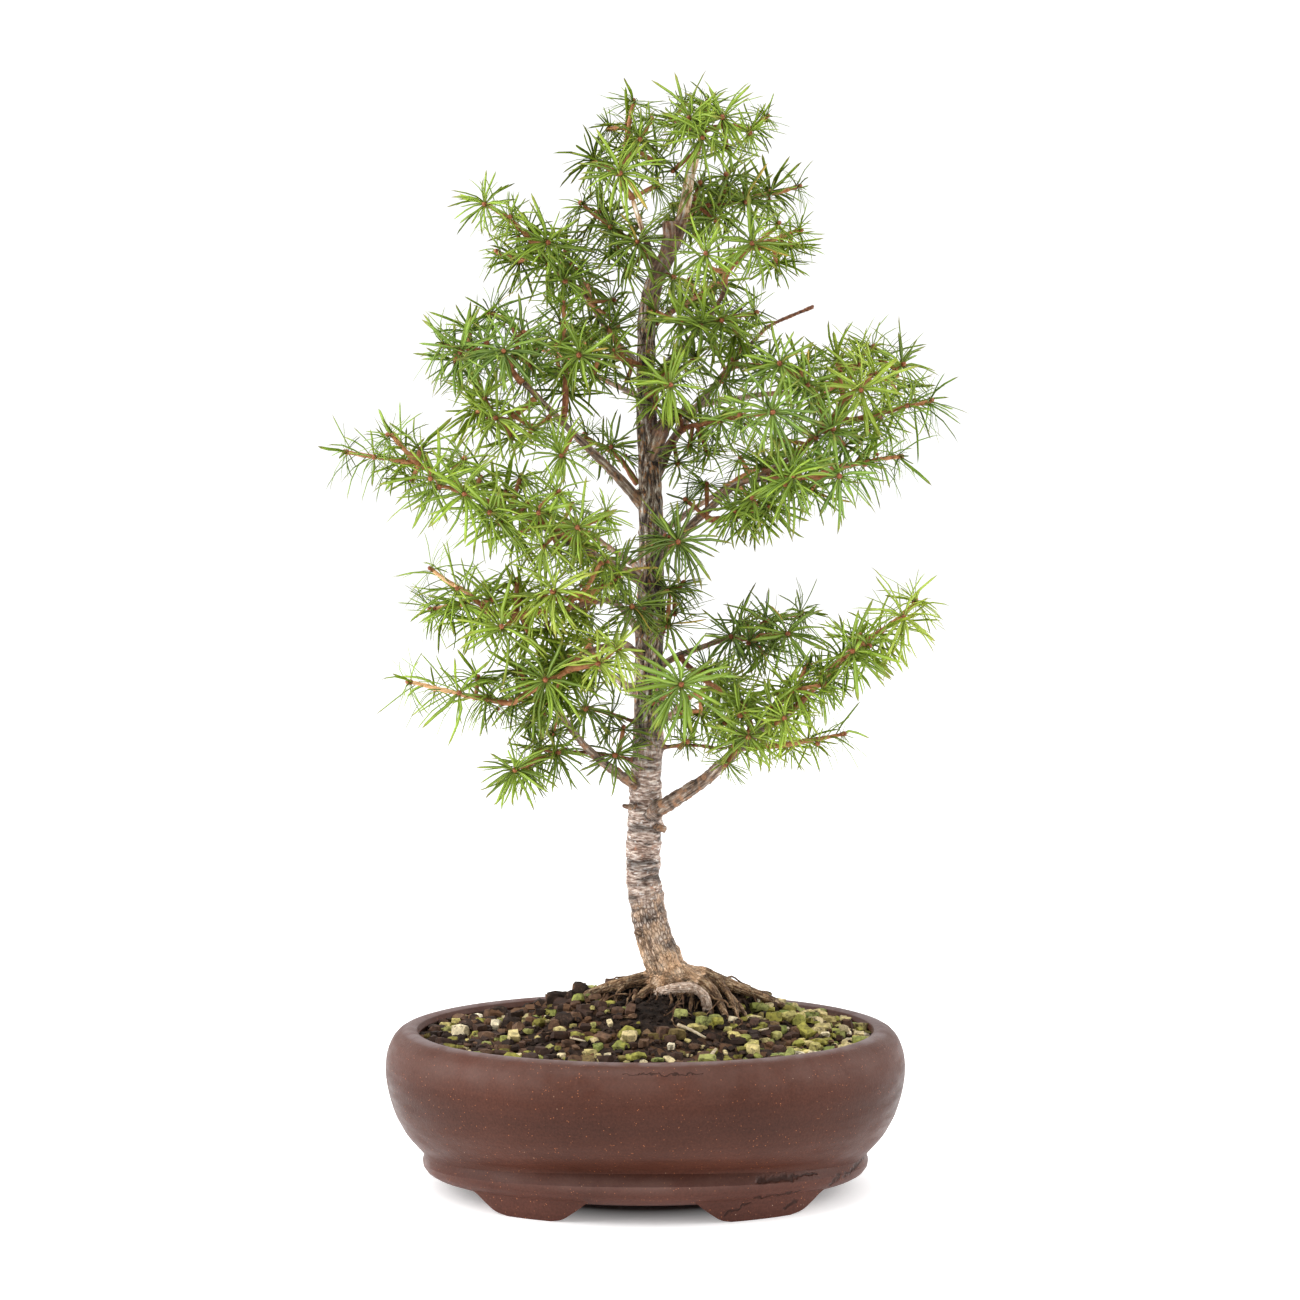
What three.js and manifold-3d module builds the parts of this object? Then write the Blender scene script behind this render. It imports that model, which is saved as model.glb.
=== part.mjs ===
// Larch bonsai: a young larch with a bare lower trunk, leafy shoots and open roots, standing in a
// mound of gritty compost in an oval, footed clay pot. All sizes are millimetres and +Z is up.
// The origin lies on the surface the pot stands on, below the middle of the pot.

import * as THREE from 'three';
import { mergeVertices } from 'three/addons/utils/BufferGeometryUtils.js';
import Module from 'manifold-3d';

const wasm = await Module();
wasm.setup();

// ---------------------------------------------------------------- driving sizes

const GAP = 0.3; // clear space between two pieces that touch
const SOIL_GAP = 0.6; // the same along the pot's curved wall, where flat sides bow inwards
const GOLDEN_TURN = Math.PI * (3 - Math.sqrt(5));

// The pot is oval: at every level its half depth is this much less than its half width.
const OVAL_DIFFERENCE = 21;
const OVAL_LIMIT = 60; // within this half width the oval keeps one ratio down to its middle
const OVAL_SIDES = 32;

// Half width and height up the outside of the pot, from under its floor to the top of its lip.
const POT_OUTSIDE = [
  [0, 9], [77, 9], [79.5, 6.6], [87, 6.6], [91, 8], [92, 10.2], [91.2, 12.6], [94, 15.6],
  [99.4, 22.8], [104.4, 33.4], [107.5, 48.2], [106.8, 56], [104, 62.4], [97, 65.7], [94.4, 65.2],
];
// The same down the inside, from the lip to the middle of the floor.
const POT_INSIDE = [
  [95.4, 60.6], [99, 49], [96.6, 35], [90, 23], [80, 16.6], [66, 15], [0, 15],
];
const POT_FLOOR = 15;
const POT_WIDEST = 107.5; // half width

const FOOT_RING = [[77, 0], [90.4, 0], [91.4, 9.4], [79, 9.4]]; // section of the ring the feet are cut from
const FOOT_INNER_EDGE = [[35, 0], [33.5, 3], [30, 5.6], [24, 9.4]]; // x and height, towards the middle
const FOOT_OUTER_EDGE = [[73, 9.4], [66, 5.8], [61, 3], [58.5, 0]];

const DRAIN_RADIUS = 8;
const DRAIN_SIDES = 16;
const DRAIN_PLACES = [-36, 36]; // x of the two drain holes
const SCREEN_SIDE = 26;
const SCREEN_THICKNESS = 1;
const SCREEN_HOLES = 2; // along each side
const SCREEN_HOLE_SIDE = 8.8;
const SCREEN_PITCH = 11.4;

const SOIL_LEVEL = 61.2; // beside the lip
const SOIL_RINGS = [1, 0.92, 0.8, 0.68, 0.56, 0.44, 0.32, 0.18]; // share of the way out from the middle
const SOIL_ROUGHNESS = 1.4; // how far the crumbs of its top rise and dip
const MOUND = { x: 8, y: 4, halfWidth: 55, halfDepth: 42, height: 20.6, shoulder: 1.4 };
const GRAINS = 46;
const GRAINS_FROM = 0.16; // share of the way out from the middle
const GRAINS_TO = 0.93;
const GRAIN_FLATNESS = 0.62;
const GRAIN_SMALL = 3; // half the size across
const GRAIN_LARGE = 4.8;
const SOCKET_GAP = 0.42; // wider than GAP, because the roots' flat sides lie inside their circles

const TRUNK_SIDES = 10;
const LIMB_SIDES = 5;
const TWIG_SIDES = 3;
const TWIG_RADIUS = 1.15;
const FIRST_TWIG_EXTRA = 0.2; // by which a spray's first twig is thicker than the twigs that leave it
const TWIG_FOOT = 0.55; // radius of a side twig's end inside its parent
const TWIG_TIP = 0.7;
const SPUR_RADIUS = 1;
const SPUR_FOOT = 0.3; // radius inside the twig

const THIRD_TURN = (Math.PI * 2) / 3;
const HUB_RADIUS = 1.25; // of a tuft's hub, each side of which is as wide as a needle
const HUB_UPPER = Math.PI / 3; // angle from the axis to the hub's upper corners
const HUB_LOWER = Math.PI * 0.64;
const NEEDLE_RADIUS = 1.05; // at its base, round the corners of the hub's side
const NEEDLE_TIP = 0.1;
const NEEDLE_BARE = 0.22; // share of a needle that may lie against its own twig
const NEEDLE_LEAN = 0.4; // how far a needle may lean from its own side of the hub
const NEEDLE_SHARES = [1, 0.85, 0.7]; // lengths that are tried where a needle would cross another
const NEEDLE_TRIES = 8; // at each length

const END_REACH = 0.5; // a spray's route that begins this near to a limb's end grows from that end
const SEAT_STEP = 0.1; // steps along a twig in the search for where it leaves its limb
const SEAT_ROOM = 0.6; // between a trimmed twig's end and the next point of its route

// The trunk from its foot in the soil to the base of the top shoot: place, then radius.
const TRUNK = [
  [15, 4, 56, 12], [14, 4, 68, 11.6], [12, 3, 78, 10.8], [9.5, 3, 86, 9], [6, 3, 95, 7.9],
  [2.4, 4, 106, 7.4], [-0.6, 5, 126, 7.1], [0, 4, 151, 7.3], [1, 2, 180, 6.6], [2, 0, 222, 6.3],
  [2, -2, 259, 5.9], [1, -3, 304, 4.9], [0.4, -2, 345, 4], [2, 0, 369, 3.5], [8, 0, 383, 3.1],
  [14, -1, 400, 2.7], [18, -2, 416, 2.3], [21, -4, 425, 2],
];

// Roots: route, then the radius where it leaves the trunk and at its tip in the soil.
const ROOTS = [
  { route: [[12, 3, 88], [23, 3, 87], [32, 3.5, 83], [46, 6, 77.5], [57, 8, 72], [64, 9, 65]],
    thick: [4.6, 1.5] },
  { route: [[8, 3, 86], [-4, 2, 83], [-16, 3, 79.5], [-25, 4, 75.5], [-33, 5, 69]], thick: [3.6, 1.3] },
  { route: [[4, -2, 79], [7, -9, 82.5], [13, -12.5, 84.5], [20, -12.5, 84.5], [25, -10.5, 81],
    [26.5, -10, 74], [27, -10, 66]], thick: [2.1, 2] },
  { route: [[16, 0, 88], [25, -4, 84], [30, -10, 79], [34, -17, 70]], thick: [3, 1.4] },
  { route: [[26, 3, 84], [34, -3, 80], [40, -9, 74], [43, -12, 67]], thick: [1.9, 1.1] },
  { route: [[6, -2, 84], [-3, -9, 79.5], [-10, -17, 70]], thick: [2.4, 1.2] },
  { route: [[8, 8, 85], [2, 18, 79.5], [-6, 30, 71], [-8, 34, 65]], thick: [3, 1.2] },
  { route: [[14, 8, 85], [22, 18, 79.5], [33, 27, 71], [37, 30, 65]], thick: [3.2, 1.3] },
];

// Limbs: route from inside the trunk to where its leafy end begins, and the radius at both ends.
const LIMBS = [
  { route: [[2, 0, 154], [22, -13, 168], [41, -26, 188], [58, -33, 199]], thick: [4.4, 2.3] },
  { route: [[-1, 1, 164], [-23, -18, 182], [-35, -30, 199]], thick: [3.6, 2] },
  { route: [[4, 0, 181], [20, -4, 183], [34, -8, 182]], thick: [1.5, 1.2] },
  { route: [[-4, 0, 176], [-19, -6, 180], [-32, -10, 181]], thick: [1.6, 1.3] },
  { route: [[-4, 0, 192], [-22, -8, 198]], thick: [1.4, 1.1] },
  { route: [[0, -2, 218], [-9, -16, 226], [-18, -26, 225], [-27, -38, 221]], thick: [2.2, 1.6] },
  { route: [[0, 0, 226], [-11, -18, 241], [-20, -30, 243], [-29, -37, 241], [-39, -40, 240]],
    thick: [2.8, 1.7] },
  { route: [[0, -2, 250], [-40, -48, 273]], thick: [3.2, 2] },
  { route: [[4, 3, 213], [14, 9, 219], [34, 14, 226]], thick: [2.6, 1.7] },
  { route: [[3, -2, 258], [30, -15, 284], [38, -19, 290], [50, -23, 292]], thick: [3.4, 2] },
  { route: [[43, -20, 291], [50, -19, 295], [65, -12, 305], [77, -3, 317]], thick: [1.8, 1.5] },
  { route: [[3, 0, 291], [11, 6, 308], [31, 24, 334], [47, 34, 352], [53, 36, 357], [72, 40, 365]],
    thick: [3.6, 0.9] },
  { route: [[2, 2, 312], [19, 24, 322], [40, 40, 327], [62, 48, 329], [79, 50, 331]],
    thick: [2.8, 1.6] },
  { route: [[2, 0, 331], [11, 4, 341], [18, 4, 349], [30, -4, 365], [32, -8, 371]], thick: [2.8, 1.7] },
  { route: [[0, -2, 280], [-26, -20, 308], [-49, -30, 330]], thick: [3.6, 1.9] },
  { route: [[1, -1, 336], [-11, 9, 347], [-25, 19, 369], [-31, 21, 374]], thick: [2.6, 1.6] },
  { route: [[4, 0, 377], [-5, -10, 405]], thick: [2.4, 1.6] },
  { route: [[1, 4, 186], [18, 46, 199]], thick: [3.2, 1.7] },
  { route: [[0, 4, 201], [-14, 26, 210], [-26, 44, 214]], thick: [3, 1.7] },
  { route: [[1, 2, 253], [-23, 44, 269]], thick: [2.8, 1.6] },
  { route: [[2, 2, 267], [34, 44, 289]], thick: [2.8, 1.6] },
  { route: [[0, 2, 324], [-30, 42, 342]], thick: [2.4, 1.5] },
];

// Leafy sprays: the first twig of each leaves a limb or the trunk, and the others leave the first.
// A star is the middle of a tuft of needles, with their length.
const SPRAYS = [
  {
    name: 'apex',
    twigs: [
      [[21, -4, 425], [23, -5, 433], [25, -6, 443]],
      [[23, -5, 433], [33, -6, 435], [42, -4, 434], [49, -2, 439]],
      [[23, -5, 433], [18, 4, 436], [11, 10, 439]],
    ],
    stars: [[23, -15, 429, 20], [25, -6, 444, 16], [31, -14, 437, 18], [18, -14, 437, 19],
      [42, -9, 432, 18], [49, -2, 439, 16]],
  },
  {
    name: 'top_left',
    twigs: [
      [[-5, -10, 405], [-10, -12, 416], [-5, -8, 443]],
      [[-9, -12, 418], [2, -14, 435]],
      [[-9, -12, 414], [-20, 2, 422]],
    ],
    stars: [[-10, -22, 414, 20], [-5, -8, 444, 15], [-2, -18, 428, 17], [2, -14, 436, 15],
      [-21, 2, 422, 20]],
  },
  {
    name: 'crown_right',
    twigs: [
      [[16, 0, 404], [25, 10, 404], [39, 16, 407], [62, 18, 413]],
    ],
    stars: [[25, 6, 404, 19], [41, 10, 406, 18], [63, 18, 413, 17], [34, 22, 412, 18]],
  },
  {
    name: 'up_right_tip',
    twigs: [
      [[32, -8, 371], [33, -11, 376], [43, -16, 385], [53, -18, 393]],
      [[43, -16, 385], [61, -12, 392]],
      [[33, -11, 376], [27, -22, 376], [24, -28, 380]],
    ],
    stars: [[43, -24, 386, 19], [53, -18, 394, 15], [62, -12, 392, 18], [53, -6, 380, 18],
      [59, -2, 387, 17]],
  },
  {
    name: 'crown_left',
    twigs: [
      [[5, 0, 376], [0, 4, 385], [-20, 12, 400], [-25, 12, 405]],
    ],
    stars: [[-3, -6, 388, 19], [-14, 4, 395, 17], [-26, 12, 405, 15], [-19, 18, 403, 16]],
  },
  {
    name: 'up_left_tip',
    twigs: [
      [[-31, 21, 374], [-40, 10, 382], [-52, 0, 395], [-64, -5, 403]],
      [[-40, 10, 382], [-51, 4, 383], [-60, 2, 385]],
    ],
    stars: [[-40, -6, 388, 20], [-65, -9, 403, 18], [-40, 2, 380, 19], [-47, 6, 393, 17],
      [-55, -8, 398, 15], [-60, 2, 385, 17]],
  },
  {
    name: 'up_left_side',
    twigs: [
      [[-23, 16, 365], [-24, 28, 373]],
    ],
    stars: [[-24, 30, 373, 17]],
  },
  {
    name: 'left_top_tip',
    twigs: [
      [[-49, -30, 330], [-54, -31, 336], [-57, -32, 341], [-80, -33, 345]],
      [[-54, -31, 336], [-51, -26, 345], [-54, -22, 354], [-61, -20, 358]],
    ],
    stars: [[-56, -42, 342, 20], [-63, -36, 345, 18], [-80, -33, 345, 17], [-73, -40, 342, 18],
      [-49, -28, 350, 17], [-62, -20, 358, 17]],
  },
  {
    name: 'left_top_low',
    twigs: [
      [[-44, -28, 324], [-52, -26, 317], [-59, -24, 316], [-69, -24, 333]],
      [[-52, -26, 317], [-45, -30, 313], [-39, -33, 316]],
    ],
    stars: [[-59, -34, 316, 20], [-69, -24, 334, 17], [-39, -33, 316, 14], [-45, -38, 311, 17],
      [-64, -30, 324, 16], [-54, -20, 309, 17]],
  },
  {
    name: 'left_upright',
    twigs: [
      [[-33, -23, 315], [-32, -22, 332], [-33, -15, 362]],
    ],
    stars: [[-35, -24, 345, 16], [-33, -15, 362, 16], [-32, -14, 335, 15]],
  },
  {
    name: 'left_inner_star',
    twigs: [
      [[0, -2, 338], [-13, -18, 341], [-24, -26, 341]],
    ],
    stars: [[-26, -32, 341, 18], [-13, -12, 343, 15]],
  },
  {
    name: 'left_face_star',
    twigs: [
      [[-29, -21, 311], [-32, -30, 304], [-33, -38, 301]],
    ],
    stars: [[-33, -42, 301, 19]],
  },
  {
    name: 'left_small',
    twigs: [
      [[-3, 2, 290], [-12, 2, 302], [-24, 4, 309]],
    ],
    stars: [[-14, -6, 305, 15], [-24, 4, 310, 13]],
  },
  {
    name: 'front_star_high',
    twigs: [
      [[1, -6, 326], [9, -32, 329]],
    ],
    stars: [[10, -38, 329, 20]],
  },
  {
    name: 'front_star_mid',
    twigs: [
      [[3, -8, 264], [13, -36, 267]],
    ],
    stars: [[13, -42, 267, 21]],
  },
  {
    name: 'front_star_low',
    twigs: [
      [[2, -6, 237], [-4, -32, 240]],
    ],
    stars: [[-5, -36, 241, 16]],
  },
  {
    name: 'trunk_right_tuft',
    twigs: [
      [[5, 0, 247], [14, -2, 248]],
    ],
    stars: [[9, -6, 247, 14], [15, -2, 249, 15]],
  },
  {
    name: 'up_right_low',
    twigs: [
      [[25, 0, 358], [25, -7, 356], [28, -10, 356], [43, -14, 359]],
      [[25, -7, 356], [12, -14, 356], [5, -14, 359]],
    ],
    stars: [[22, -16, 354, 21], [14, -18, 355, 17], [4, -14, 359, 14], [44, -14, 359, 15],
      [31, -16, 356, 16]],
  },
  {
    name: 'right_long_shoot',
    twigs: [
      [[11, 6, 308], [16, -8, 312], [22, -17, 314], [30, -27, 315], [49, -42, 318]],
    ],
    stars: [[50, -46, 318, 21], [38, -40, 317, 15], [30, -32, 315, 15], [22, -12, 314, 15]],
  },
  {
    name: 'right_bare_tufts',
    twigs: [
      [[31, 26, 334], [37, 20, 339], [50, 8, 339]],
    ],
    stars: [[37, 16, 341, 17], [50, 6, 338, 17], [40, 26, 348, 17], [29, 30, 348, 16]],
  },
  {
    name: 'right_up_star',
    twigs: [
      [[72, -7, 312], [72, -5, 317], [71, -8, 323], [65, -14, 331], [55, -20, 337]],
    ],
    stars: [[54, -24, 338, 19], [65, -20, 330, 16], [63, -6, 337, 16]],
  },
  {
    name: 'right_crown',
    twigs: [
      [[77, -3, 317], [81, -4, 324], [87, -10, 329], [92, -12, 334]],
      [[81, -4, 324], [79, 8, 340]],
    ],
    stars: [[87, -18, 328, 21], [93, -12, 334, 18], [79, 8, 341, 18], [87, 6, 339, 18]],
  },
  {
    name: 'right_mid_tip',
    twigs: [
      [[50, -23, 292], [77, -33, 293]],
      [[67, -29, 293], [79, -20, 297], [103, -12, 301]],
    ],
    stars: [[77, -38, 293, 19], [48, -14, 296, 18], [56, -34, 290, 21], [59, -36, 293, 17],
      [67, -22, 288, 18], [50, -26, 288, 18], [67, -18, 298, 18], [103, -12, 301, 17]],
  },
  {
    name: 'right_mid_low',
    twigs: [
      [[25, -15, 276], [30, -18, 276], [50, -22, 281]],
    ],
    stars: [[36, -24, 279, 17], [50, -24, 281, 18], [44, -14, 279, 17], [43, -28, 284, 15]],
  },
  {
    name: 'right_far_shoot',
    twigs: [
      [[75, -5, 315], [80, 2, 317], [89, 4, 317], [116, -2, 324]],
    ],
    stars: [[116, -2, 324, 18], [107, -4, 322, 14], [97, 8, 317, 17], [91, 0, 313, 17]],
  },
  {
    name: 'right_back_tip',
    twigs: [
      [[79, 50, 331], [85, 47, 332], [105, 38, 335], [109, 34, 339]],
      [[85, 47, 332], [91, 48, 344]],
    ],
    stars: [[108, 32, 340, 17], [100, 36, 342, 17], [91, 48, 345, 18], [96, 40, 348, 16],
      [106, 42, 330, 17], [83, 56, 338, 17]],
  },
  {
    name: 'low_mid_tip',
    twigs: [
      [[34, 14, 226], [40, 12, 226], [57, -2, 229]],
      [[40, 12, 226], [55, 26, 234], [65, 28, 235]],
    ],
    stars: [[36, 6, 227, 18], [58, -8, 229, 19], [43, 2, 225, 17], [50, 12, 233, 17], [65, 28, 236, 18],
      [40, 22, 232, 17]],
  },
  {
    name: 'front_star_right',
    twigs: [
      [[3, -3, 200], [13, -46, 210]],
    ],
    stars: [[14, -52, 211, 24]],
  },
  {
    name: 'front_right_twig',
    twigs: [
      [[14, 9, 219], [20, 2, 213], [38, -30, 202]],
    ],
    stars: [[39, -30, 202, 17], [31, -14, 206, 18], [25, 2, 213, 17]],
  },
  {
    name: 'low_right_knob',
    twigs: [
      [[41, -26, 188], [42, -34, 195], [39, -34, 200]],
    ],
    stars: [[41, -42, 190, 20], [38, -40, 198, 18], [45, -26, 201, 18], [36, -36, 186, 18]],
  },
  {
    name: 'low_right_star',
    twigs: [
      [[49, -30, 193], [50, -38, 194], [55, -42, 196]],
    ],
    stars: [[55, -46, 197, 16], [48, -26, 189, 18]],
  },
  {
    name: 'low_right_side',
    twigs: [
      [[53, -31, 196], [54, -30, 202], [59, -32, 207], [62, -35, 212], [64, -34, 216]],
      [[59, -32, 207], [63, -42, 209], [69, -45, 210]],
    ],
    stars: [[59, -42, 208, 19], [65, -34, 217, 15], [70, -45, 210, 15], [54, -24, 205, 18]],
  },
  {
    name: 'low_right_tip',
    twigs: [
      [[58, -33, 199], [60, -36, 201], [66, -38, 207], [79, -37, 221], [103, -29, 237]],
      [[79, -37, 221], [83, -40, 224], [85, -40, 229]],
      [[103, -29, 237], [108, -27, 242]],
    ],
    stars: [[103, -36, 237, 23], [108, -27, 243, 17], [82, -46, 224, 19], [85, -40, 229, 16],
      [79, -28, 219, 21], [72, -30, 211, 18]],
  },
  {
    name: 'low_long_shoot',
    twigs: [
      [[34, -8, 182], [59, -12, 184], [80, -12, 188]],
    ],
    stars: [[70, -16, 185, 15], [80, -12, 188, 13], [59, -4, 183, 16]],
  },
  {
    name: 'low_twig_tuft',
    twigs: [
      [[14, -3, 182], [17, -8, 185]],
    ],
    stars: [[17, -10, 185, 14]],
  },
  {
    name: 'low_left_tip',
    twigs: [
      [[-35, -30, 199], [-39, -33, 203], [-46, -24, 195]],
      [[-39, -33, 203], [-53, -38, 204]],
    ],
    stars: [[-46, -24, 194, 18], [-42, -40, 204, 18], [-37, -30, 191, 17], [-52, -38, 204, 17]],
  },
  {
    name: 'low_left_twigs',
    twigs: [
      [[-32, -10, 181], [-36, -12, 181], [-52, -32, 176]],
    ],
    stars: [[-52, -38, 176, 17], [-36, -18, 181, 19], [-43, -8, 182, 18], [-47, -16, 176, 16]],
  },
  {
    name: 'low_left_star',
    twigs: [
      [[-10, -2, 178], [-11, -12, 180]],
    ],
    stars: [[-12, -16, 180, 16]],
  },
  {
    name: 'mid_low_star',
    twigs: [
      [[-22, -8, 198], [-23, -14, 199]],
    ],
    stars: [[-24, -18, 199, 14]],
  },
  {
    name: 'mid_low_tip',
    twigs: [
      [[-27, -38, 221], [-31, -46, 216], [-38, -50, 213]],
      [[-31, -46, 216], [-18, -54, 220], [-11, -58, 225]],
      [[-38, -50, 213], [-49, -50, 206], [-57, -50, 204], [-92, -54, 212]],
    ],
    stars: [[-39, -54, 213, 21], [-11, -58, 225, 19], [-30, -40, 217, 18], [-18, -58, 220, 15],
      [-35, -40, 208, 19], [-34, -30, 220, 18], [-92, -54, 212, 17]],
  },
  {
    name: 'mid_left_tip',
    twigs: [
      [[-20, -30, 243], [-30, -44, 245], [-36, -50, 245]],
      [[-30, -44, 245], [-24, -56, 248], [-17, -60, 259]],
      [[-26, -40, 244], [-12, -50, 252]],
    ],
    stars: [[-35, -62, 248, 21], [-16, -60, 259, 18], [-11, -50, 253, 16], [-40, -54, 246, 20],
      [-31, -40, 239, 19]],
  },
  {
    name: 'mid_left_long',
    twigs: [
      [[-39, -40, 240], [-50, -40, 238], [-62, -38, 239], [-73, -34, 242], [-84, -32, 240]],
      [[-50, -40, 238], [-56, -54, 233]],
      [[-62, -38, 239], [-67, -43, 244], [-84, -47, 256]],
    ],
    stars: [[-56, -58, 234, 21], [-85, -32, 240, 17], [-72, -40, 242, 18], [-65, -30, 236, 18],
      [-50, -32, 244, 18], [-47, -32, 231, 19], [-39, -28, 232, 19], [-61, -46, 244, 17]],
  },
  {
    name: 'left_long_tip',
    twigs: [
      [[-40, -48, 273], [-49, -54, 278], [-70, -56, 286], [-79, -54, 289]],
      [[-70, -56, 286], [-75, -58, 294], [-71, -60, 299]],
      [[-79, -54, 289], [-88, -58, 297], [-116, -58, 302]],
      [[-88, -58, 297], [-98, -64, 308]],
    ],
    stars: [[-80, -62, 289, 21], [-70, -66, 286, 19], [-56, -62, 275, 19], [-60, -66, 279, 18],
      [-71, -60, 299, 15], [-65, -46, 292, 18], [-55, -44, 287, 18], [-46, -58, 282, 18],
      [-50, -42, 270, 18], [-116, -58, 302, 13], [-99, -64, 308, 14], [-83, -66, 292, 18]],
  },
  {
    name: 'left_long_front',
    twigs: [
      [[-37, -45, 271], [-38, -52, 273], [-42, -60, 279], [-35, -64, 286]],
      [[-38, -52, 273], [-31, -57, 271], [-27, -60, 273], [-15, -62, 277]],
    ],
    stars: [[-34, -64, 286, 17], [-15, -62, 278, 17], [-41, -66, 279, 18], [-26, -66, 273, 18],
      [-39, -62, 266, 19], [-34, -46, 263, 18]],
  },
  {
    name: 'left_long_inner',
    twigs: [
      [[-15, -19, 259], [-11, -30, 254]],
    ],
    stars: [[-11, -34, 254, 17], [-17, -16, 254, 17]],
  },
  {
    name: 'back_low_right',
    twigs: [
      [[18, 46, 199], [23, 52, 201], [34, 62, 205]],
      [[23, 52, 201], [24, 60, 192]],
    ],
    stars: [[34, 62, 205, 18], [24, 62, 191, 17], [27, 52, 208, 18], [15, 66, 191, 17]],
  },
  {
    name: 'back_low_left',
    twigs: [
      [[-26, 44, 214], [-31, 51, 213], [-41, 62, 211]],
      [[-31, 51, 213], [-24, 58, 222]],
    ],
    stars: [[-41, 62, 211, 18], [-24, 60, 223, 17], [-32, 56, 206, 18], [-20, 64, 212, 17]],
  },
  {
    name: 'back_left',
    twigs: [
      [[-23, 44, 269], [-28, 50, 271], [-41, 60, 277]],
      [[-28, 50, 271], [-21, 58, 259]],
    ],
    stars: [[-42, 60, 278, 18], [-21, 60, 258, 17], [-32, 56, 281, 18], [-28, 66, 264, 17]],
  },
  {
    name: 'back_right',
    twigs: [
      [[34, 44, 289], [39, 50, 292], [52, 60, 300]],
      [[39, 50, 292], [46, 58, 284]],
    ],
    stars: [[52, 60, 300, 18], [46, 60, 283, 17], [41, 54, 301, 18], [58, 56, 290, 17]],
  },
  {
    name: 'back_up_left',
    twigs: [
      [[-30, 42, 342], [-34, 47, 344], [-47, 60, 349]],
      [[-34, 47, 344], [-23, 56, 352]],
    ],
    stars: [[-48, 60, 349, 18], [-23, 58, 353, 17], [-37, 56, 338, 18], [-33, 62, 354, 16]],
  },
  {
    name: 'back_up_right',
    twigs: [
      [[4, 2, 356], [30, 52, 376]],
    ],
    stars: [[31, 54, 376, 18], [23, 50, 369, 17], [19, 34, 375, 17]],
  },
  {
    name: 'back_top',
    twigs: [
      [[11, 0, 391], [23, 46, 409]],
    ],
    stars: [[23, 48, 409, 17], [18, 40, 401, 16], [13, 28, 406, 16]],
  },
  {
    name: 'right_stars',
    twigs: [
      [[66, -11, 306], [68, -16, 309], [74, -19, 312]],
      [[68, -16, 309], [63, -15, 312]],
    ],
    stars: [[69, -18, 309, 18], [75, -20, 312, 20], [61, -8, 303, 17], [55, -4, 308, 17]],
  },
];

// ---------------------------------------------------------------- small tools

const vector = (point) => new THREE.Vector3(point[0], point[1], point[2]);
const mix = (a, b, share) => a + (b - a) * share;
const taper = (from, to, count) => Array.from({ length: count }, (_, i) => mix(from, to, i / (count - 1)));

// A seeded draw, so that every build gives the same tree.
function seededDraw(seed) {
  let state = seed >>> 0;
  return () => {
    state = (state + 0x6d2b79f5) >>> 0;
    let value = Math.imul(state ^ (state >>> 15), state | 1);
    value ^= value + Math.imul(value ^ (value >>> 7), value | 61);
    return ((value ^ (value >>> 14)) >>> 0) / 4294967296;
  };
}

// Joins the shared corners of a closed geometry, drops its flat slivers and turns its sides outwards.
function weld(geometry) {
  const bare = new THREE.BufferGeometry();
  bare.setAttribute('position', geometry.getAttribute('position').clone());
  if (geometry.getIndex()) bare.setIndex(geometry.getIndex().clone());
  const welded = mergeVertices(bare, 1e-4);
  const place = welded.getAttribute('position').array;
  const corners = welded.getIndex().array;
  const kept = [];
  let volume = 0;
  for (let i = 0; i < corners.length; i += 3) {
    const [a, b, c] = [corners[i], corners[i + 1], corners[i + 2]];
    if (a === b || b === c || c === a) continue;
    kept.push(a, b, c);
    const [p, q, r] = [a, b, c].map((n) => new THREE.Vector3().fromArray(place, n * 3));
    volume += p.dot(q.cross(r));
  }
  if (volume < 0) {
    for (let i = 0; i < kept.length; i += 3) [kept[i], kept[i + 1]] = [kept[i + 1], kept[i]];
  }
  welded.setIndex(kept);
  return welded;
}

function toSolid(geometry) {
  const welded = weld(geometry);
  return new wasm.Manifold(new wasm.Mesh({
    numProp: 3,
    vertProperties: new Float32Array(welded.getAttribute('position').array),
    triVerts: new Uint32Array(welded.getIndex().array),
  }));
}

// The largest body of a solid: loose scraps are left out, and sealed hollows are filled.
function mainBody(solid) {
  return solid.decompose().reduce((best, one) => (one.volume() > best.volume() ? one : best));
}

function toGeometry(solid) {
  const mesh = mainBody(solid).getMesh();
  const geometry = new THREE.BufferGeometry();
  geometry.setAttribute('position', new THREE.BufferAttribute(mesh.vertProperties, mesh.numProp));
  geometry.setIndex(new THREE.BufferAttribute(mesh.triVerts, 1));
  geometry.computeVertexNormals();
  return geometry;
}

const fuse = (solids) => solids.reduce((whole, one) => whole.add(one));

function named(name, solid, material) {
  const mesh = new THREE.Mesh(toGeometry(solid), material);
  mesh.name = name;
  return mesh;
}

// The ways across and up at each point of a route, carried along it without twisting.
// The lead is the way that its first flat end faces, where that isn't the route's own way.
function carry(points, lead) {
  const along = points.map((point, i) => {
    const before = points[Math.max(i - 1, 0)];
    const after = points[Math.min(i + 1, points.length - 1)];
    return after.clone().sub(before).normalize();
  });
  if (lead) along[0] = lead.clone().normalize();
  let across = new THREE.Vector3(0, 0, 1).cross(along[0]);
  if (across.length() < 0.1) across = new THREE.Vector3(1, 0, 0);
  return along.map((way) => {
    across = across.clone().addScaledVector(way, -across.dot(way)).normalize();
    return { across, up: way.clone().cross(across) };
  });
}

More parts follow.
